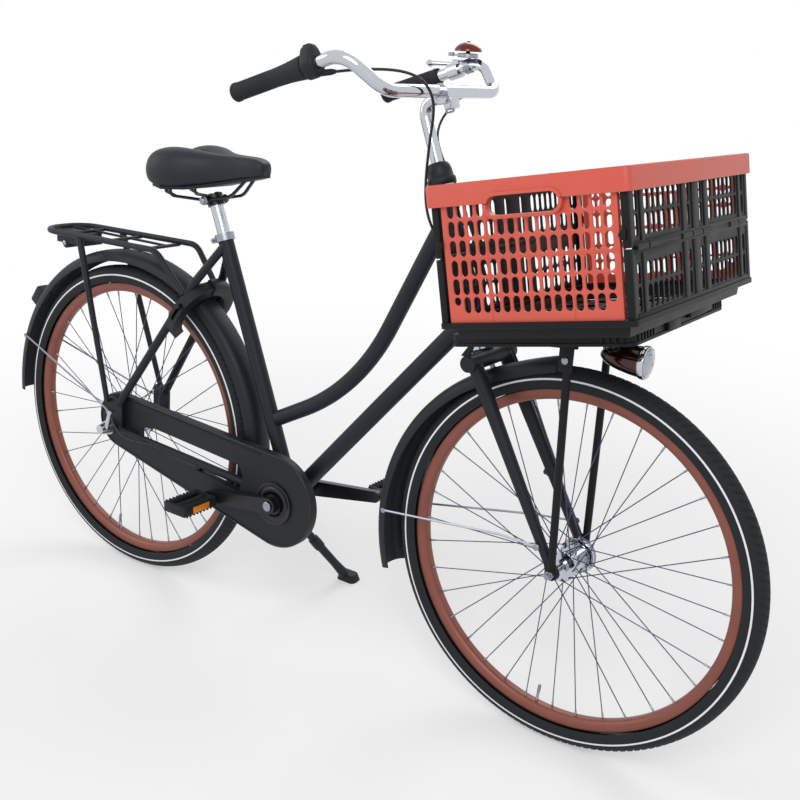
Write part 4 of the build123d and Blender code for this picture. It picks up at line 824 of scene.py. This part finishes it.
# Twist shifter housing: a shell with a lobe above and below the bar, and the cable's ferrule
shell_run = grip_run(-1)
shell_up = (upward - shell_run * shell_run.z).normalized()
shell_side = shell_run.cross(shell_up)
shell_axes = Matrix((shell_run, shell_side, shell_up)).transposed()
shell_outline = hull_outline([(0, 0, 20.5), (0, 20, 11.5), (0, -8, 15.5)], 60)
shell_stations = (
    (158.8, 0.9), (159.8, 0.95), (162, 0.99), (165, 1), (175, 1), (179, 0.98), (182, 0.93), (184, 0.84),
    (184.6, 0.7),
)
bm = bmesh.new()
rings = []
for along, share in shell_stations:
    rings.append([on_grip(along, -1) + (shell_side * x + shell_up * y) * share for x, y in shell_outline])
bridge(bm, rings, caps=True)
block(bm, on_grip(170, -1) + shell_up * 31, (13, 11, 3), 1, shell_axes)
tube(bm, [(668, -211, 1158.8), (686, -199, 1162.6), (692, -195.4, 1163.8)], [5.6, 5.2, 3.6], 16)
piece("shifter_shell", bm, "steering", [plastic], ["shifter_housing"], sharp=45)

# Headset boot and the stem's clamp, on the steering axis
head_angle, fork_rake = 68.4, 68.7
stem_reach, clamp_height = 51, 846
steer_up, steer_forward = heading(180 - head_angle), heading(90 - head_angle)
steer_foot = front_axle - steer_forward * fork_rake
steer_axes = Matrix((steer_forward, left, steer_up)).transposed()
boot = [
    (704, 12.9), (704, 22.3), (699, 22.3), (699, 24.6), (700.4, 26), (709, 26.2), (711.4, 25.4), (713, 23.6),
    (724, 22.8), (732, 21.2), (737, 18.4), (739.4, 14.6), (740, 11.4),
]
bm = bmesh.new()
lathe(bm, steer_foot, steer_up, left, boot, 48)
piece("headset_boot", bm, "steering", [plastic], sharp=50)
clamp_middle = steer_foot + steer_forward * stem_reach + steer_up * clamp_height
clamp_ring = [(-20, 11.4), (-20, 16.4), (-18.4, 18), (18.4, 18), (20, 16.4), (20, 11.4)]
bolt_head = [(27, 8.2), (31, 8.2), (32.4, 7), (32.4, 4), (30, 3.6), (30, 0.1)]
bm = bmesh.new()
lathe(bm, clamp_middle, left, forward, clamp_ring, 48)
block(bm, clamp_middle + steer_forward * 7 - steer_up * 18, (18, 26, 20), 4, steer_axes)
lathe(bm, clamp_middle, -steer_up, left, bolt_head, 6, tint=1)
piece("stem_clamp_ring", bm, "steering", [chrome, steel], sharp=35)

# Bell: a polished dome on a clamped base
bell_place = 203
bell_base = on_grip(bell_place, 1, out=-6, up=19)
dome = [
    (8.6, 23.4), (7.6, 25.2), (8.2, 26.2), (9.8, 26.2), (13.2, 24.8), (17, 21.6), (20.4, 17), (22.8, 11.4),
    (24.2, 5.6), (24.6, 3.6), (26, 3.4), (26.6, 2.4), (26.8, 0.1),
]
bell_foot = [(8.4, 3), (4.6, 4.8), (4.2, 17), (3.2, 19.6), (-2.6, 20), (-4, 18.4), (-4, 0.1)]
bell_clamp = [(-6.5, 11.2), (-6.5, 13.2), (-5.6, 14), (5.6, 14), (6.5, 13.2), (6.5, 11.2)]
bm = bmesh.new()
lathe(bm, bell_base, upward, forward, dome, 56)
lathe(bm, bell_base, upward, forward, bell_foot, 48, tint=1)
lathe(bm, on_grip(bell_place, 1), grip_run(1), left, bell_clamp, 36, tint=1)
piece("bell_dome", bm, "steering", [copper, steel], ["bell"])

# Headlight: lacquered bullet, bright bezel, bowl, bulb, bracket and lens
lamp = Vector((1138, 0, 743))
bullet = [
    (-14, 0.1), (-13.2, 3.4), (-10.6, 7), (-5.6, 11), (1, 14.6), (12, 18.6), (26, 22), (44, 24.8), (58, 26.2),
    (60, 26.6), (62, 26.6), (62, 22),
]
bezel = [
    (61.4, 25), (61.4, 27.4), (63, 28.4), (68.4, 28.4), (70.6, 27.4), (71.4, 25.6), (70.8, 24.2), (67, 23.6),
]
bowl = [(69, 24), (64, 21), (58.6, 15), (56.4, 9), (55.6, 4), (55.6, 0.1)]
bulb = [(55.6, 3.2), (62, 3.2), (64.4, 2.2), (65.2, 0.1)]
lens = [
    (70, 24.2), (71.6, 23.8), (73.4, 20), (75.2, 15), (76.6, 9), (77.4, 4), (77.6, 0.1), (75.8, 0.1),
    (75.2, 6), (73.6, 13), (71.4, 19), (69.4, 23.2), (70, 24.2),
]
bm = bmesh.new()
for profile, steps, tint in ((bullet, 56, 0), (bezel, 56, 1), (bowl, 56, 1), (bulb, 20, 1)):
    lathe(bm, lamp, forward, left, profile, steps, tint=tint)
block(bm, (1174, 0, 783), (22, 14, 42), 2.2, tint=2)
piece("headlight_shell", bm, "steering", [lamp_lacquer, chrome, plastic], ["headlight"])
bm = bmesh.new()
lathe(bm, lamp, forward, left, lens, 56)
piece("headlight_glass", bm, "steering", [glass], ["headlight_lens"])

# Tail light: a rounded housing on the mudguard, with a red lens
tail_out = Vector((-0.81, 0, 0.58)).normalized()
tail_axes = Matrix((left, tail_out.cross(left), tail_out)).transposed()
tail_centre = Vector((-326, 0, 590))
bm = bmesh.new()
block(bm, tail_centre, (34, 46, 29), 5, tail_axes)
block(bm, tail_centre + tail_out * 13, (25, 36, 4), 1.6, tail_axes, tint=1)
piece("tail_light_shell", bm, "frame", [plastic, red_lens], ["tail_light"], sharp=50)

# Pedals: a caged barrel with tread ribs and amber reflectors
pedal_barrel = ((0, 6.2), (0, 10), (2, 11), (40, 9.4), (54, 9.4), (92, 11), (94, 10), (94, 0.1))
for name, side, near in (("right_pedal", -1, 82), ("left_pedal", 1, 78)):
    spin = to_upright @ joint_points[name + "_spin"]
    middle = side * (near + 47)
    bm = bmesh.new()
    for along in (4.6, 89.4):
        block(bm, (spin.x, side * (near + along), spin.z), (60, 9, 22), 2.4)
    for end in (-1, 1):
        x = spin.x + end * 23.5
        block(bm, (x, middle, spin.z), (15, 92, 19), 1.8)
        for rib in range(9):
            block(bm, (x, side * (near + 8 + rib * 9.75), spin.z), (17, 3.6, 24), 0.9)
        block(bm, (spin.x + end * 31.4, middle, spin.z), (2.4, 46, 14), 0.8, tint=1)
    barrel = [(near + along, radius) for along, radius in pedal_barrel]
    lathe(bm, (spin.x, 0, spin.z), left * side, forward, barrel, 32)
    piece(name + "_cage", bm, name, [plastic, amber], [name])

# Crank bolt cover
crank_joint = to_upright @ joint_points["crank_turn"]
crank_middle = Vector((crank_joint.x, 0, crank_joint.z))
cover = [(80.5, 10), (81.4, 10), (82.2, 9), (82.2, 5.4), (81.6, 4.6), (81.6, 0.1)]
bm = bmesh.new()
lathe(bm, crank_middle, -left, forward, cover, 32)
piece("crank_bolt_cover", bm, "cranks", [steel])

# Lug under the rear carrier, with its bolt
lug_middle, lug_half = Vector((-203, 0, 738)), 27
lug = [(-lug_half, 0.1), (-lug_half, 10), (-25, 12), (25, 12), (lug_half, 10), (lug_half, 0.1)]
bolt = [(0, 5.4), (1, 6), (2.6, 6), (3.6, 4.8), (3.8, 0.1)]
bm = bmesh.new()
lathe(bm, lug_middle, -left, forward, lug, 36, tint=1)
lathe(bm, lug_middle - left * lug_half, -left, forward, bolt, 24)
piece("carrier_bolt", bm, "frame", [steel, paint])

# Stepped ring and rolled edge on the chain case
case_ring = [
    (60, 46), (61.6, 45.6), (62.4, 44), (62.4, 41.6), (61.2, 40), (61, 35.6), (62.4, 34), (62.6, 30),
    (61.6, 28), (60, 27),
]
case_circles = [(8, axle_height + 12, 61.4), (crank_middle.x, crank_middle.z + 5, 97.4)]
case_edge_y = -57
bm = bmesh.new()
lathe(bm, crank_middle, -left, forward, case_ring, 64)
tube(bm, [(x, case_edge_y, z) for x, z in hull_outline(case_circles, 160)], 2.6, 12, closed=True)
piece("chain_case_trim", bm, "frame", [dark_metal])

# Nuts on the saddle clamp
seat_angle = radians(68.5)
post_head_x = crank_middle.x - 647 * cos(seat_angle)
clamp_nut = [(30, 9.4), (32, 9.4), (33, 7), (37, 6.8), (38, 5.6), (38, 0.1)]
bm = bmesh.new()
for side in (-1, 1):
    lathe(bm, (post_head_x + 3, 0, 888), left * side, forward, clamp_nut, 24)
piece("saddle_clamp_nuts", bm, "seat", [steel])

# Wire springs behind the saddle's rails
bm = bmesh.new()
for side in (-1, 1):
    hairpin = [(172, side * 37, 909), (126, side * 36, 906), (126, side * 35, 888), (160, side * 32, 888)]
    tube(bm, filleted(hairpin, (8, 8)), 3.2, 12)
piece("saddle_springs", bm, "seat", [dark_metal], sharp=60)

# Ring lock's housing on the left, over the plain ring
lock_turn, lock_distance = 57, 352
lock_centre = rear_axle + heading(lock_turn) * lock_distance
housing = [
    (-4, 54.6), (-5.6, 57), (-5.6, 78), (-4, 82), (0, 84.4), (15, 84.4), (19.6, 82), (21.6, 78), (21.6, 57),
    (20, 54.6), (-4, 54.6),
]
bm = bmesh.new()
lathe(bm, lock_centre, heading(lock_turn - 90), left, housing, 40, radians(-44), radians(140))
piece("ring_lock_housing", bm, "frame", [plastic], sharp=35)

# Sleeve of the stand's sliding lower leg
stand_pivot = Vector((388, 43, 252))
stand_foot = Vector((468, 220, 23.76))
folded_way = Vector((-0.98, 0.06, 0.16)).normalized()
swing = (stand_foot - stand_pivot).normalized() - folded_way
stand_axis = (left - swing * (swing.y / swing.length_squared)).normalized()
leg_start = stand_pivot + stand_axis * 9
sleeve_stops = (
    (0.48, 9.2), (0.49, 12), (0.55, 12.6), (0.59, 12), (0.6, 9.8), (0.78, 9.4), (0.86, 10.4), (0.93, 12),
)
bm = bmesh.new()
turned_bar(bm, leg_start, stand_foot - leg_start, sleeve_stops, 24)
piece("stand_leg_sleeve", bm, "stand", [paint], sharp=30)

# Bolts of the carrier's and front mudguard's stays
bm = bmesh.new()
for side in (-1, 1):
    for x, y, z in ((1103, 88.2, 742), (1082, 77, 402)):
        lathe(bm, (x, side * y, z), left * side, forward, bolt, 24)
piece("stay_bolts", bm, "steering", [steel])

# Cable clip on the left fork leg
clip_foot = Vector((1031, 58.5, 492.7))
leg_way = Vector((0.503, 0, -0.865))
clip_way = Vector((-0.865, 0, -0.503))
bm = bmesh.new()
turned_bar(bm, clip_foot, leg_way, ((-7, 12.4), (7, 12.4)), 24)
turned_bar(bm, clip_foot, clip_way, ((0, 5.5), (13, 5.5), (16.5, 4)), 16)
piece("fork_clip", bm, "steering", [plastic])

# Floor, which fades to the backdrop's white away from the bicycle
floor_reach, floor_drop = 30, 0.0005
floor_mesh = bpy.data.meshes.new("floor")
floor_corners = [(x, y, 0) for x, y in rectangle(0, 0, 2 * floor_reach, 2 * floor_reach)]
floor_mesh.from_pydata(floor_corners, [], [(0, 1, 2, 3)])
floor = placed("floor", floor_mesh)
floor.location.z = -floor_drop
floor_finish = bpy.data.materials.new("floor_paper")
floor_finish.use_nodes = True
nodes, links = floor_finish.node_tree.nodes, floor_finish.node_tree.links
floor_shader = nodes["Principled BSDF"]
set_inputs(floor_shader, {"Base Color": (*linear((252, 252, 252)), 1), "Roughness": 0.9})
ground = nodes.new("ShaderNodeTexCoord")
distance = nodes.new("ShaderNodeVectorMath")
distance.operation = "LENGTH"
links.new(ground.outputs["Object"], distance.inputs[0])
fading = nodes.new("ShaderNodeMapRange")
fading.interpolation_type = "SMOOTHSTEP"
set_inputs(fading, {"From Min": 0.9, "From Max": 2.4, "To Min": 0.35})
links.new(distance.outputs["Value"], fading.inputs["Value"])
glow = nodes.new("ShaderNodeEmission")
mixing = nodes.new("ShaderNodeMixShader")
links.new(fading.outputs["Result"], mixing.inputs["Fac"])
links.new(floor_shader.outputs["BSDF"], mixing.inputs[1])
links.new(glow.outputs["Emission"], mixing.inputs[2])
links.new(mixing.outputs["Shader"], nodes["Material Output"].inputs["Surface"])
floor_mesh.materials.append(floor_finish)

# World: white where it is seen, reflected or looked through, and dimmer as light
world = bpy.data.worlds.new("studio")
world.use_nodes = True
scene.world = world
nodes, links = world.node_tree.nodes, world.node_tree.links
backdrop = nodes["Background"]
set_inputs(backdrop, {"Color": (1, 1, 1, 1)})
rays = nodes.new("ShaderNodeLightPath")
seen = rays.outputs["Is Camera Ray"]
for kind in ("Is Glossy Ray", "Is Transmission Ray"):
    either = nodes.new("ShaderNodeMath")
    either.operation = "MAXIMUM"
    links.new(seen, either.inputs[0])
    links.new(rays.outputs[kind], either.inputs[1])
    seen = either.outputs["Value"]
level = nodes.new("ShaderNodeMapRange")
set_inputs(level, {"To Min": 0.5})
links.new(seen, level.inputs["Value"])
links.new(level.outputs["Result"], backdrop.inputs["Strength"])


def area_light(name, place, target, size, power):
    """A round lamp turned towards a target, in metres and watts."""
    light = bpy.data.lights.new(name, "AREA")
    light.shape = "DISK"
    light.size = size
    light.energy = power
    holder = placed(name, light)
    holder.location = place
    holder.rotation_euler = (Vector(target) - Vector(place)).to_track_quat("-Z", "Y").to_euler()


area_light("key", (1.6, -2.6, 3.2), (0, 0, 0.5), 2.2, 56)
area_light("fill", (-2.8, -1.8, 2.2), (0, 0, 0.5), 2.4, 27)
area_light("back", (-0.6, 3.0, 2.8), (0, 0, 0.6), 2.2, 34)

# Camera, leaned with the bicycle
azimuth, elevation, roll = radians(33.94), radians(17.35), radians(3.73)
camera_place = (1853, -1672, 1199)
picture_size, focal_length, sensor_width = 800, 1109, 36
back = Vector((sin(azimuth) * cos(elevation), -cos(azimuth) * cos(elevation), sin(elevation)))
level_right = Vector((cos(azimuth), sin(azimuth), 0))
level_up = back.cross(level_right)
right = level_right * cos(roll) + level_up * sin(roll)
up = level_up * cos(roll) - level_right * sin(roll)
camera_axes = Matrix((right, up, back)).transposed()
camera_data = bpy.data.cameras.new("camera")
camera_data.sensor_width = sensor_width
camera_data.lens = focal_length / picture_size * sensor_width
camera = placed("camera", camera_data)
camera.matrix_world = Matrix.Translation(at(*camera_place)) @ leaning @ camera_axes.to_4x4()
scene.camera = camera
scene.view_settings.view_transform = "Standard"
